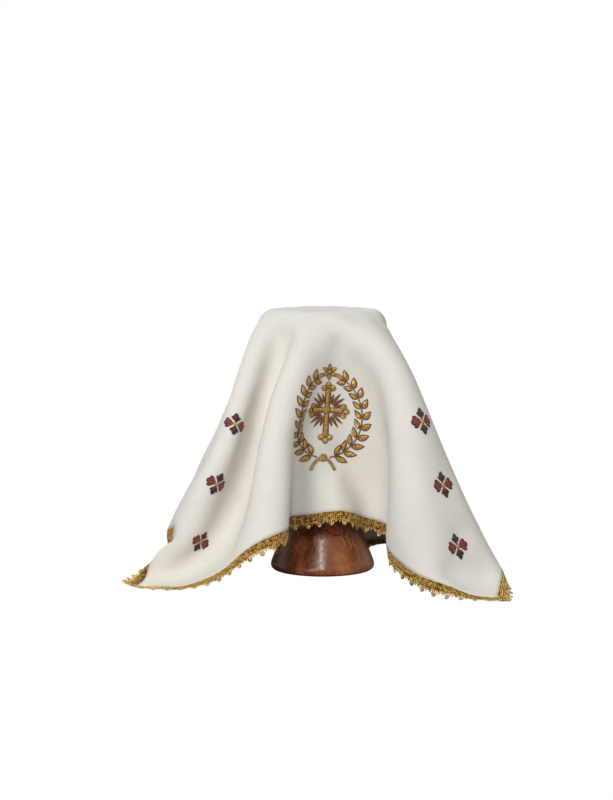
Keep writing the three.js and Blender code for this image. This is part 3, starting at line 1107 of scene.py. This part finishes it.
@dataclass(frozen=True)
class Patch:
    """One stitched shape: its outline, the lie of its thread, and which finishes it takes."""

    outline: tuple[Point, ...]
    lie: float = 0.0
    rise: float = 0.5
    domed: bool = True
    edge: float = 0.5
    core: int = 0
    rim: int = 1

    def placed(self, at: Point, turn: float = 0.0, size: float = 1.0) -> "Patch":
        """Give the shape turned and moved.

        Args:
            at: Where its own zero goes.
            turn: Turn in radians.
            size: How much larger it gets.

        Returns:
            The moved shape.
        """
        c, s = size * math.cos(turn), size * math.sin(turn)
        moved = tuple((at[0] + x * c - y * s, at[1] + x * s + y * c) for x, y in self.outline)
        return Patch(moved, self.lie + turn, self.rise, self.domed, self.edge, self.core, self.rim)

    def mirrored(self) -> "Patch":
        """Give the shape mirrored left to right."""
        turned = tuple((-x, y) for x, y in reversed(self.outline))
        return Patch(turned, math.pi - self.lie, self.rise, self.domed, self.edge, self.core, self.rim)


def leaf(length: float, width: float, **finish: Any) -> Patch:
    """Outline a pointed leaf that grows along its own x.

    Args:
        length: Length in millimetres.
        width: Width at its broadest.
        finish: Other fields of the patch.

    Returns:
        The leaf.
    """
    places = [k / 8 for k in range(9)]
    upper = [(length * t, width / 2 * math.sin(math.pi * t**0.8) ** 0.9) for t in places[1:-1]]
    lower = [(x, -y) for x, y in upper]
    outline = [(0.0, 0.0), *lower, (length, 0.0), *reversed(upper)]
    return Patch(tuple(outline), lie=math.radians(55), **finish)


def disc(radius: float, sides: int = 14, **finish: Any) -> Patch:
    """Outline a round shape.

    Args:
        radius: Radius in millimetres.
        sides: Number of corners.
        finish: Other fields of the patch.

    Returns:
        The round.
    """
    turns = [2 * math.pi * k / sides for k in range(sides)]
    return Patch(tuple((radius * math.cos(a), radius * math.sin(a)) for a in turns), **finish)


def bar(length: float, near: float, far: float, **finish: Any) -> Patch:
    """Outline a straight bar that widens along its own x.

    Args:
        length: Length in millimetres.
        near: Width at its root.
        far: Width at its end.
        finish: Other fields of the patch.

    Returns:
        The bar.
    """
    places = [k / 6 for k in range(7)]
    lower = [(length * t, -(near + (far - near) * t * t) / 2) for t in places]
    upper = [(x, -y) for x, y in reversed(lower)]
    return Patch(tuple(lower + upper), lie=math.radians(90), **finish)


def strip(path: Sequence[Point], width: float, **finish: Any) -> Patch:
    """Outline a narrow strip along a path.

    Args:
        path: Middle line of the strip.
        width: Its width.
        finish: Other fields of the patch.

    Returns:
        The strip.
    """
    line = np.array(path, float)
    way = np.gradient(line, axis=0)
    way /= np.linalg.norm(way, axis=1, keepdims=True)
    side = np.stack([-way[:, 1], way[:, 0]], 1) * width / 2
    outline = [tuple(p) for p in line - side] + [tuple(p) for p in (line + side)[::-1]]
    return Patch(tuple(outline), domed=False, **finish)


class Petal(Enum):
    """Half outlines of the two kinds of petal, from the root outwards: along and across."""

    CLOVER = (
        (1.5, 0.6), (3.0, 1.8), (4.6, 3.6), (6.2, 5.1), (7.8, 5.8), (9.2, 5.3), (9.7, 4.1),
        (9.2, 2.9), (10.4, 2.5), (11.3, 1.4), (11.6, 0.0),
    )
    IVY = (
        (1.5, 0.6), (3.2, 1.3), (4.6, 2.6), (6.0, 4.0), (7.5, 4.6), (8.3, 4.0), (7.9, 2.7),
        (9.6, 2.4), (11.2, 1.4), (12.4, 0.0),
    )

    def patch(self, **finish: Any) -> Patch:
        """Outline the petal, growing along its own x.

        Args:
            finish: Other fields of the patch.

        Returns:
            The petal.
        """
        half = self.value
        return Patch((*((x, -y) for x, y in half), *reversed(half[:-1])), lie=math.radians(20), **finish)


@dataclass
class Needlework:
    """A worked motif: padded satin-stitched shapes, each with a corded outline."""

    name: str
    seat: float = 0.3
    wall: float = 0.75
    cord_rise: float = 0.25
    cord_fall: float = -0.2
    pad_inset: float = 0.35
    pad_share: float = 0.7
    crown_share: float = 0.3
    patches: list[Patch] = field(default_factory=list)

    def stitch(self, patch: Patch) -> bpy.types.Mesh:
        """Model one shape flat, as a closed padded form.

        Args:
            patch: The shape.

        Returns:
            Its mesh, with the lie of the thread in its flat coordinates.
        """
        bench = bmesh.new()
        base = bench.faces.new([bench.verts.new((x, y, self.seat)) for x, y in patch.outline])
        base.material_index = patch.rim
        grown = bmesh.ops.extrude_face_region(bench, geom=[base])["geom"]
        cap = next(part for part in grown if isinstance(part, bmesh.types.BMFace))
        raised = [part for part in grown if isinstance(part, bmesh.types.BMVert)]
        bmesh.ops.translate(bench, verts=raised, vec=(0, 0, self.wall))
        cord = patch.edge / 2
        steps = (
            (cord, self.cord_rise, patch.rim),
            (cord, self.cord_fall, patch.rim),
            (self.pad_inset, patch.rise * self.pad_share, patch.core),
        )
        for face in bench.faces:
            face.material_index = patch.rim
        for width, depth, index in steps:
            ring = bmesh.ops.inset_region(
                bench, faces=[cap], thickness=width, depth=depth, use_even_offset=True
            )
            for face in ring["faces"]:
                face.material_index = index
        cap.material_index = patch.core
        if patch.domed:
            crown = bmesh.ops.poke(bench, faces=[cap], offset=patch.rise * self.crown_share)
            for face in crown["faces"]:
                face.material_index = patch.core
        bmesh.ops.recalc_face_normals(bench, faces=bench.faces)
        plan = bench.loops.layers.uv.new("flat")
        c, s = math.cos(patch.lie), math.sin(patch.lie)
        for face in bench.faces:
            for loop in face.loops:
                x, y = loop.vert.co.x * MM, loop.vert.co.y * MM
                loop[plan].uv = (x * c + y * s, -x * s + y * c)
        return to_mesh(bench, "stitched_shape")

    def build(self, surface: ClothSurface, finishes: Sequence[bpy.types.Material]) -> bpy.types.Object:
        """Join the shapes and lay them on the folds.

        Args:
            surface: The settled cloth.
            finishes: Thread finishes, in the order of the patches' numbers.

        Returns:
            The motif's piece.
        """
        bench = bmesh.new()
        for patch in self.patches:
            shape = self.stitch(patch)
            bench.from_mesh(shape)
            bpy.data.meshes.remove(shape)
        mesh = to_mesh(bench, self.name)
        surface.lay(mesh)
        return add_object(self.name, mesh, finishes)


class EmblemSlot(IntEnum):
    """Slots of the emblem's threads."""

    GOLD = 0
    BROWN = 1
    RUSSET = 2


class FlowerSlot(IntEnum):
    """Slots of the flowers' threads: each petal's edge comes next after the petal."""

    RED = 0
    RED_EDGE = 1
    PLUM = 2
    PLUM_EDGE = 3
    EYE = 4
    RED_LIGHT = 5
    PLUM_LIGHT = 6


@dataclass
class Emblem:
    """The gold motif on the front: a budded cross with short rays in a ring of two leafy boughs."""

    centre: Point = (2.0, -164.5)
    turn: float = -0.04
    cross_at: Point = (0.0, 6.0)
    # Arms of the cross: direction in degrees and length.
    arms: tuple[Point, ...] = ((90.0, 19.0), (0.0, 14.0), (180.0, 14.0), (270.0, 24.0))
    arm_root: float = 2.6
    arm_widths: Point = (5.4, 6.8)
    bud: float = 3.1
    # Buds at the end of an arm: how far ahead and aside.
    bud_places: tuple[Point, ...] = ((3.4, 0.0), (0.2, 4.6), (0.2, -4.6))
    hub: float = 4.4
    # Rays in a quarter: degrees from its middle and length.
    rays: tuple[Point, ...] = ((-24.0, 11.0), (-8.0, 15.0), (8.0, 15.0), (24.0, 11.0))
    ray_root: float = 6.5
    ray_width: float = 3.0
    # Ring of the boughs: half width and half height, and where a bough starts and ends in degrees.
    bough: Point = (36.0, 41.0)
    bough_span: Point = (-80.0, 66.0)
    bough_steps: int = 30
    stem: float = 1.5
    leaf_pairs: int = 10
    leaf_edge: float = 0.9
    leaf_length: float = 14.5
    leaf_taper: float = 0.35
    # Leaves outside and inside the ring: share of the length, width, way off the stem, lean in degrees.
    leaf_sides: tuple[tuple[float, float, float, float], ...] = (
        (1.0, 6.6, 1.2, -38.0),
        (0.86, 5.8, -1.2, 40.0),
    )
    end_leaf: Point = (11.0, 4.6)
    end_lean: float = 150.0
    berry: float = 1.9
    # Berries: turn past their leaves in radians, and way off the stem.
    berry_place: Point = (0.11, 2.9)
    knot: float = 4.0
    knot_y: float = -41.0
    tail_width: float = 3.2
    tail_from: Point = (1.5, -42.5)
    tail_run: Point = (10.5, -11.0)
    tail_bow: float = 3.5
    blossom_y: float = 44.0
    blossom_leaf: Point = (7.2, 4.2)
    blossom_root: float = 1.6
    blossom_eye: float = 2.2
    gold: SatinStitchFinish = SatinStitchFinish(
        "emblem_gold", (0.2, 0.08, 0.014), (0.86, 0.56, 0.15), metallic=0.6, roughness=0.34
    )
    brown: SatinStitchFinish = SatinStitchFinish(
        "emblem_outline", (0.045, 0.014, 0.005), (0.15, 0.06, 0.018), metallic=0.2, roughness=0.5
    )
    russet: SatinStitchFinish = SatinStitchFinish(
        "emblem_russet", (0.09, 0.02, 0.01), (0.42, 0.18, 0.05), metallic=0.4, roughness=0.4
    )

    def cross(self) -> list[Patch]:
        """Shape the cross, each arm ending in three buds, with rays between the arms.

        Returns:
            Its patches.
        """
        shapes = []
        x0, y0 = self.cross_at
        for degrees, length in self.arms:
            turn = math.radians(degrees)
            way = (math.cos(turn), math.sin(turn))
            root = (x0 + self.arm_root * way[0], y0 + self.arm_root * way[1])
            shapes.append(bar(length, *self.arm_widths, edge=self.leaf_edge).placed(root, turn))
            reach = self.arm_root + length
            for ahead, aside in self.bud_places:
                spot = (
                    x0 + way[0] * (reach + ahead) - way[1] * aside,
                    y0 + way[1] * (reach + ahead) + way[0] * aside,
                )
                shapes.append(disc(self.bud, 12).placed(spot, turn))
        for quarter in range(4):
            for offset, length in self.rays:
                turn = math.radians(45 + 90 * quarter + offset)
                root = (x0 + self.ray_root * math.cos(turn), y0 + self.ray_root * math.sin(turn))
                ray = leaf(length, self.ray_width, edge=0.4, rise=0.4, core=EmblemSlot.RUSSET)
                shapes.append(ray.placed(root, turn))
        shapes.append(disc(self.hub, 16, rise=0.8).placed(self.cross_at))
        return shapes

    def boughs(self) -> list[Patch]:
        """Shape the right-hand bough and mirror it to the left.

        Returns:
            The patches of both boughs.
        """
        a, b = self.bough

        def spot(angle: float, grow: float = 0.0) -> Point:
            """Give a place on the ring of the boughs."""
            return ((a + grow) * math.cos(angle), (b + grow) * math.sin(angle))

        first, last = (math.radians(degrees) for degrees in self.bough_span)
        path = [spot(first + (last - first) * k / self.bough_steps) for k in range(self.bough_steps + 1)]
        right = [strip(path, self.stem, edge=0.4, rise=0.2)]
        for k in range(self.leaf_pairs):
            angle = first + (last - first) * (k + 0.6) / self.leaf_pairs
            ahead, here = spot(angle + 0.02), spot(angle)
            run = math.atan2(ahead[1] - here[1], ahead[0] - here[0])
            long = self.leaf_length - self.leaf_taper * k
            for share, width, off, lean in self.leaf_sides:
                shape = leaf(long * share, width, edge=self.leaf_edge)
                right.append(shape.placed(spot(angle, off), run + math.radians(lean)))
            berry = disc(self.berry, 8, edge=0.3, core=EmblemSlot.RUSSET)
            right.append(berry.placed(spot(angle + self.berry_place[0], self.berry_place[1])))
        right.append(leaf(*self.end_leaf).placed(spot(last), math.radians(self.end_lean)))
        return right + [patch.mirrored() for patch in right]

    def tie(self) -> list[Patch]:
        """Shape the knot with its two tails, and the small blossom that closes the ring.

        Returns:
            Their patches.
        """
        (x0, y0), (across, down) = self.tail_from, self.tail_run
        places = np.linspace(0, 1, 8)
        tail = [(x0 + across * t, y0 + down * t + self.tail_bow * math.sin(math.pi * t)) for t in places]
        right = strip(tail, self.tail_width, edge=0.4, rise=0.3)
        knot = disc(self.knot, 12, rise=0.8).placed((0.0, self.knot_y))
        shapes = [right, right.mirrored(), knot]
        for k in range(6):
            turn = math.radians(90 + 60 * k)
            root = (self.blossom_root * math.cos(turn), self.blossom_y + self.blossom_root * math.sin(turn))
            shapes.append(leaf(*self.blossom_leaf).placed(root, turn))
        shapes.append(disc(self.blossom_eye, 10, rise=0.8).placed((0.0, self.blossom_y)))
        return shapes

    def build(self, surface: ClothSurface) -> bpy.types.Object:
        """Work the motif on the front panel.

        Args:
            surface: The settled cloth.

        Returns:
            The motif's piece.
        """
        shapes = self.boughs() + self.cross() + self.tie()
        placed = [shape.placed(self.centre, self.turn) for shape in shapes]
        work = Needlework("front_emblem", patches=placed)
        return work.build(surface, [self.gold.make(), self.brown.make(), self.russet.make()])


@dataclass
class Blossoms:
    """Four-petalled flowers, three to each front corner: dark petals down the slope, red across."""

    right: tuple[Point, ...] = ((119.5, -132.0), (167.5, -170.8), (206.9, -215.7))
    left: tuple[Point, ...] = ((-135.1, -114.9), (-174.0, -157.3), (-200.2, -209.4))
    # Each side's slope in degrees and the size of its flowers.
    right_lie: Point = (-45.0, 1.05)
    left_lie: Point = (-135.0, 0.88)
    stalk: Point = (3.4, 1.2)
    stalk_root: float = 1.6
    vein: Point = (4.2, 1.7)
    vein_root: float = 4.6
    vein_fan: tuple[float, ...] = (-0.45, 0.0, 0.45)
    eye: float = 1.9
    finishes: tuple[SatinStitchFinish, ...] = (
        SatinStitchFinish("petal_red", (0.07, 0.005, 0.005), (0.4, 0.032, 0.026), roughness=0.35),
        SatinStitchFinish("petal_red_edge", (0.02, 0.003, 0.004), (0.08, 0.008, 0.008), roughness=0.4),
        SatinStitchFinish("petal_plum", (0.02, 0.004, 0.006), (0.085, 0.014, 0.02), roughness=0.35),
        SatinStitchFinish("petal_plum_edge", (0.012, 0.004, 0.005), (0.035, 0.01, 0.013), roughness=0.4),
        SatinStitchFinish("flower_eye", (0.4, 0.26, 0.05), (0.7, 0.52, 0.16), metallic=0.3),
        SatinStitchFinish("petal_light", (0.26, 0.025, 0.018), (0.58, 0.12, 0.08), roughness=0.35),
        SatinStitchFinish("petal_plum_light", (0.07, 0.015, 0.018), (0.2, 0.045, 0.045), roughness=0.35),
    )

    def flower(self, at: Point, slope: float, size: float) -> list[Patch]:
        """Shape one flower.

        Args:
            at: Its place on the flat cloth.
            slope: The way down to the corner, in radians.
            size: How much larger it is than drawn.

        Returns:
            Its patches.
        """
        gold = {"core": FlowerSlot.EYE, "rim": FlowerSlot.EYE}
        shapes = []
        for quarter in range(4):
            turn = math.pi / 2 * quarter
            if quarter % 2:
                kind, tone, light = Petal.CLOVER, FlowerSlot.RED, FlowerSlot.RED_LIGHT
            else:
                kind, tone, light = Petal.IVY, FlowerSlot.PLUM, FlowerSlot.PLUM_LIGHT
            shapes.append(kind.patch(core=tone, rim=tone + 1, edge=1.0).placed((0.0, 0.0), turn))
            root = (self.stalk_root * math.cos(turn), self.stalk_root * math.sin(turn))
            shapes.append(leaf(*self.stalk, edge=0.2, rise=0.8, **gold).placed(root, turn))
            for fan in self.vein_fan:
                way = turn + fan
                spot = (self.vein_root * math.cos(way), self.vein_root * math.sin(way))
                shapes.append(leaf(*self.vein, edge=0.2, rise=0.9, core=light, rim=light).placed(spot, way))
        shapes.append(disc(self.eye, 10, edge=0.3, rise=0.9, **gold))
        return [shape.placed(at, slope, size) for shape in shapes]

    def build(self, surface: ClothSurface) -> bpy.types.Object:
        """Work the six flowers.

        Args:
            surface: The settled cloth.

        Returns:
            The flowers' piece.
        """
        shapes: list[Patch] = []
        for places, (degrees, size) in ((self.right, self.right_lie), (self.left, self.left_lie)):
            for at in places:
                shapes += self.flower(at, math.radians(degrees), size)
        work = Needlework("corner_blossoms", patches=shapes)
        return work.build(surface, [finish.make() for finish in self.finishes])


@dataclass
class Chalice:
    """The turned chalice under the veil, of which the foot shows, with scallops and curls drawn on it."""

    steps: int = 96
    between: tuple[float, ...] = (0.0, 0.34, 0.67)
    scallops: int = 8
    scallop_low: float = 38.0
    scallop_high: float = 49.5
    scallop_round: float = 0.6
    scallop_steps: int = 16
    line_radius: float = 0.45
    line_sunk: float = 0.12
    curl_radius: float = 0.42
    curl_sway: float = 2.6
    curl_calm: float = 0.4
    curl_steps: int = 24
    # Wavy lines: degrees to the right of the front, low end, high end, waves.
    curls: tuple[tuple[float, float, float, float], ...] = (
        (29.0, 28.0, 46.0, 1.4),
        (38.0, 24.0, 40.0, 1.1),
        (47.0, 20.0, 41.0, 1.6),
    )
    finish: BrownFootFinish = BrownFootFinish()
    gilt: SatinStitchFinish = SatinStitchFinish(
        "gilt_line", (0.62, 0.3, 0.12), (0.8, 0.46, 0.2), metallic=0.3
    )
    # Near-black lines stand for the incised scallops: painted shade of their grooves.
    incised: SatinStitchFinish = SatinStitchFinish("incised_line_painted_shade", (0.02, 0.008, 0.004), (0.05, 0.02, 0.01))

    def outline(self) -> list[Point]:
        """Give the outline, rounded between the listed points.

        Returns:
            Heights and radii in millimetres, from the table up.
        """
        heights, radii = (np.array(part, float) for part in zip(*CHALICE_OUTLINE))
        slope = np.gradient(radii, heights)
        points: list[Point] = []
        for k in range(len(heights) - 1):
            span = heights[k + 1] - heights[k]
            for t in self.between:
                rise = (2 * t**3 - 3 * t**2 + 1) * radii[k] + (t**3 - 2 * t**2 + t) * span * slope[k]
                fall = (-2 * t**3 + 3 * t**2) * radii[k + 1] + (t**3 - t**2) * span * slope[k + 1]
                points.append((heights[k] + span * t, rise + fall))
        return [*points, (heights[-1], radii[-1])]

    def turning(self) -> bpy.types.Object:
        """Spin the outline into the chalice.

        Returns:
            The chalice's piece.
        """
        bench = bmesh.new()
        line = [(0.0, 0.0), *self.outline(), (CHALICE_OUTLINE[-1][0], 0.0)]
        verts = [bench.verts.new((radius * MM, 0.0, height * MM)) for height, radius in line]
        edges = [bench.edges.new(pair) for pair in zip(verts, verts[1:])]
        bmesh.ops.spin(
            bench,
            geom=verts + edges,
            cent=(0, 0, 0),
            axis=(0, 0, 1),
            angle=2 * math.pi,
            steps=self.steps,
            use_merge=True,
        )
        bmesh.ops.remove_doubles(bench, verts=bench.verts, dist=1e-6)
        bmesh.ops.recalc_face_normals(bench, faces=bench.faces)
        return add_object("chalice_turning", to_mesh(bench, "chalice_turning"), [self.finish.make()])

    def on_foot(self, turn: float, height: float) -> CurveSpot:
        """Give a place on the foot for a line that is let into it.

        Args:
            turn: Angle from the front towards the right, in radians.
            height: Height in millimetres.

        Returns:
            The place as a curve point in metres.
        """
        heights, radii = zip(*CHALICE_OUTLINE)
        radius = float(np.interp(height, heights, radii)) - self.line_sunk
        return (radius * math.sin(turn) * MM, -radius * math.cos(turn) * MM, height * MM, 1.0)

    def scallops_path(self) -> list[CurveSpot]:
        """Draw the line of scallops round the foot.

        Returns:
            Its curve points, the last on the first.
        """
        count = self.scallops * self.scallop_steps
        turns = [2 * math.pi * k / count for k in range(count + 1)]
        dips = [abs(math.sin(turn * self.scallops / 2)) ** self.scallop_round for turn in turns]
        span = self.scallop_low - self.scallop_high
        return [self.on_foot(turn, self.scallop_high + span * dip) for turn, dip in zip(turns, dips)]

    def curl_paths(self) -> list[list[CurveSpot]]:
        """Draw the wavy gilt lines on the right of the foot.

        Returns:
            The curve points of each line.
        """
        paths = []
        for degrees, low, high, waves in self.curls:
            path = []
            for t in np.linspace(0, 1, self.curl_steps):
                sway = self.curl_sway * math.sin(2 * math.pi * waves * t) * (1 - self.curl_calm * t)
                path.append(self.on_foot(math.radians(degrees + sway), low + (high - low) * t))
            paths.append(path)
        return paths

    @staticmethod
    def drawn(
        name: str, paths: Sequence[Sequence[CurveSpot]], radius: float, finish: SatinStitchFinish
    ) -> bpy.types.Object:
        """Draw fine round lines.

        Args:
            name: Name of the piece.
            paths: Curve points of each line.
            radius: Half the lines' thickness in millimetres.
            finish: Finish of the lines.

        Returns:
            The lines' piece.
        """
        curve = bpy.data.curves.new(name, "CURVE")
        curve.dimensions = "3D"
        curve.bevel_depth = radius * MM
        curve.bevel_resolution = 1
        for path in paths:
            line = curve.splines.new("POLY")
            line.points.add(len(path) - 1)
            for spot, place in zip(line.points, path):
                spot.co = place
        holder = bpy.data.objects.new(f"{name}_path", curve)
        mesh = bpy.data.meshes.new_from_object(holder)
        bpy.data.objects.remove(holder)
        return add_object(name, mesh, [finish.make()])

    def build(self) -> list[bpy.types.Object]:
        """Make the chalice and the lines on its foot.

        Returns:
            The pieces.
        """
        body = self.turning()
        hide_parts("chalice")
        # The scallop line is near black, painted shade of an engraved groove.
        scallops = self.drawn("incised_scallops", [self.scallops_path()], self.line_radius, self.incised)
        curls = self.drawn("gilt_curls", self.curl_paths(), self.curl_radius, self.gilt)
        pieces = [body, scallops, curls]
        return pieces


@dataclass
class Paten:
    """The plate on the cup, which carries the flat top of the veil."""

    finish: GiltFinish = GiltFinish()

    def dress(self) -> None:
        """Give the plate's solid its finish."""
        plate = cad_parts["paten"]
        plate.data.materials.clear()
        plate.data.materials.append(self.finish.make())


@dataclass(frozen=True)
class Softbox:
    """A square lamp with a cloth front, aimed at the middle of the part."""

    name: str
    at: tuple[float, float, float]
    size: float
    power: float
    aim: tuple[float, float, float] = (0.0, 0.0, 0.13)

    def hang(self) -> None:
        """Hang the lamp at its place, out of the camera's sight."""
        lamp = bpy.data.lights.new(self.name, "AREA")
        lamp.size = self.size
        lamp.energy = self.power
        holder = bpy.data.objects.new(self.name, lamp)
        holder.location = self.at
        way = Vector(self.aim) - Vector(self.at)
        holder.rotation_euler = way.to_track_quat("-Z", "Y").to_euler()
        holder.visible_camera = False
        bpy.context.scene.collection.objects.link(holder)


@dataclass
class Studio:
    """Pale floor, soft lights and the camera at the photograph's place."""

    camera_at: tuple[float, float, float] = (-0.016, -1.9, 0.369)
    camera_dip: float = 6.045
    lens: float = 86.85
    sensor: float = 36.0
    sky: float = 0.4
    sky_tint: Colour = (0.98, 0.995, 1.02)
    wall: Colour = (1.0, 1.0, 1.0)
    floor_half: float = 6.0
    lamps: tuple[Softbox, ...] = (
        Softbox("high_softbox", (-0.85, -1.15, 0.95), 0.6, 7.0),
        Softbox("left_softbox", (-0.75, -1.55, 0.6), 0.5, 8.0),
        Softbox("front_softbox", (-0.12, -1.85, 1.05), 0.2, 8.0),
        Softbox("side_softbox", (1.5, -0.5, 1.0), 0.8, 4.2),
        Softbox("back_softbox", (-0.6, 1.5, 1.6), 0.8, 14.0),
    )

    def floor(self) -> None:
        """Lay the floor, which lights and shades the part but is not seen against the white ground."""
        bench = bmesh.new()
        bmesh.ops.create_grid(bench, x_segments=8, y_segments=8, size=self.floor_half)
        mesh = to_mesh(bench, "studio_floor")
        mesh.materials.append(TableFinish().make())
        floor = bpy.data.objects.new("studio_floor", mesh)
        floor.visible_camera = False
        bpy.context.scene.collection.objects.link(floor)
        floor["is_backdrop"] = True

    def light(self) -> None:
        """Hang the softboxes and set the even light of the room."""
        for lamp in self.lamps:
            lamp.hang()
        world = bpy.data.worlds.new("studio_room")
        bpy.context.scene.world = world
        world.use_nodes = True
        tree = world.node_tree
        room = tree.nodes["Background"]
        room.inputs["Color"].default_value = (*self.sky_tint, 1.0)
        room.inputs["Strength"].default_value = self.sky
        wall = tree.nodes.new("ShaderNodeBackground")
        wall.inputs["Color"].default_value = (*self.wall, 1.0)
        seen = tree.nodes.new("ShaderNodeLightPath")
        mix = tree.nodes.new("ShaderNodeMixShader")
        tree.links.new(seen.outputs["Is Camera Ray"], mix.inputs["Fac"])
        tree.links.new(room.outputs["Background"], mix.inputs[1])
        tree.links.new(wall.outputs["Background"], mix.inputs[2])
        tree.links.new(mix.outputs["Shader"], tree.nodes["World Output"].inputs["Surface"])
        bpy.context.scene.view_settings.view_transform = "Standard"

    def camera(self) -> None:
        """Set the camera."""
        data = bpy.data.cameras.new("photo_camera")
        data.lens = self.lens
        data.sensor_width = self.sensor
        data.clip_end = 50.0
        holder = bpy.data.objects.new("photo_camera", data)
        holder.location = self.camera_at
        holder.rotation_euler = (math.radians(90.0 - self.camera_dip), 0.0, 0.0)
        bpy.context.scene.collection.objects.link(holder)
        bpy.context.scene.camera = holder

    def build(self) -> None:
        """Set up the studio."""
        self.floor()
        self.light()
        self.camera()


def write_sizes() -> None:
    """Gather the solid model's box and the dressed model's box side by side."""
    boxes = {"cad": CAD_BOX, "visual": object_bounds()}
    {name: [list(corner) for corner in box] for name, box in boxes.items()}


def main() -> None:
    """Build every piece in order."""
    logging.basicConfig(level=logging.INFO)
    Studio().build()
    drape = Drape()
    surface = ClothSurface(drape.lines(), drape.settle())
    Chalice().build()
    Paten().dress()
    cloth = VeilCloth()
    veil = cloth.build(surface)
    lace = LaceEdging()
    trims = lace.build(surface)
    lace.dress(trims)
    trims.append(Emblem().build(surface))
    trims.append(Blossoms().build(surface))
    cloth.dress(veil, trims)
    bpy.context.view_layer.update()
    write_sizes()


if __name__ == "__main__":
    main()
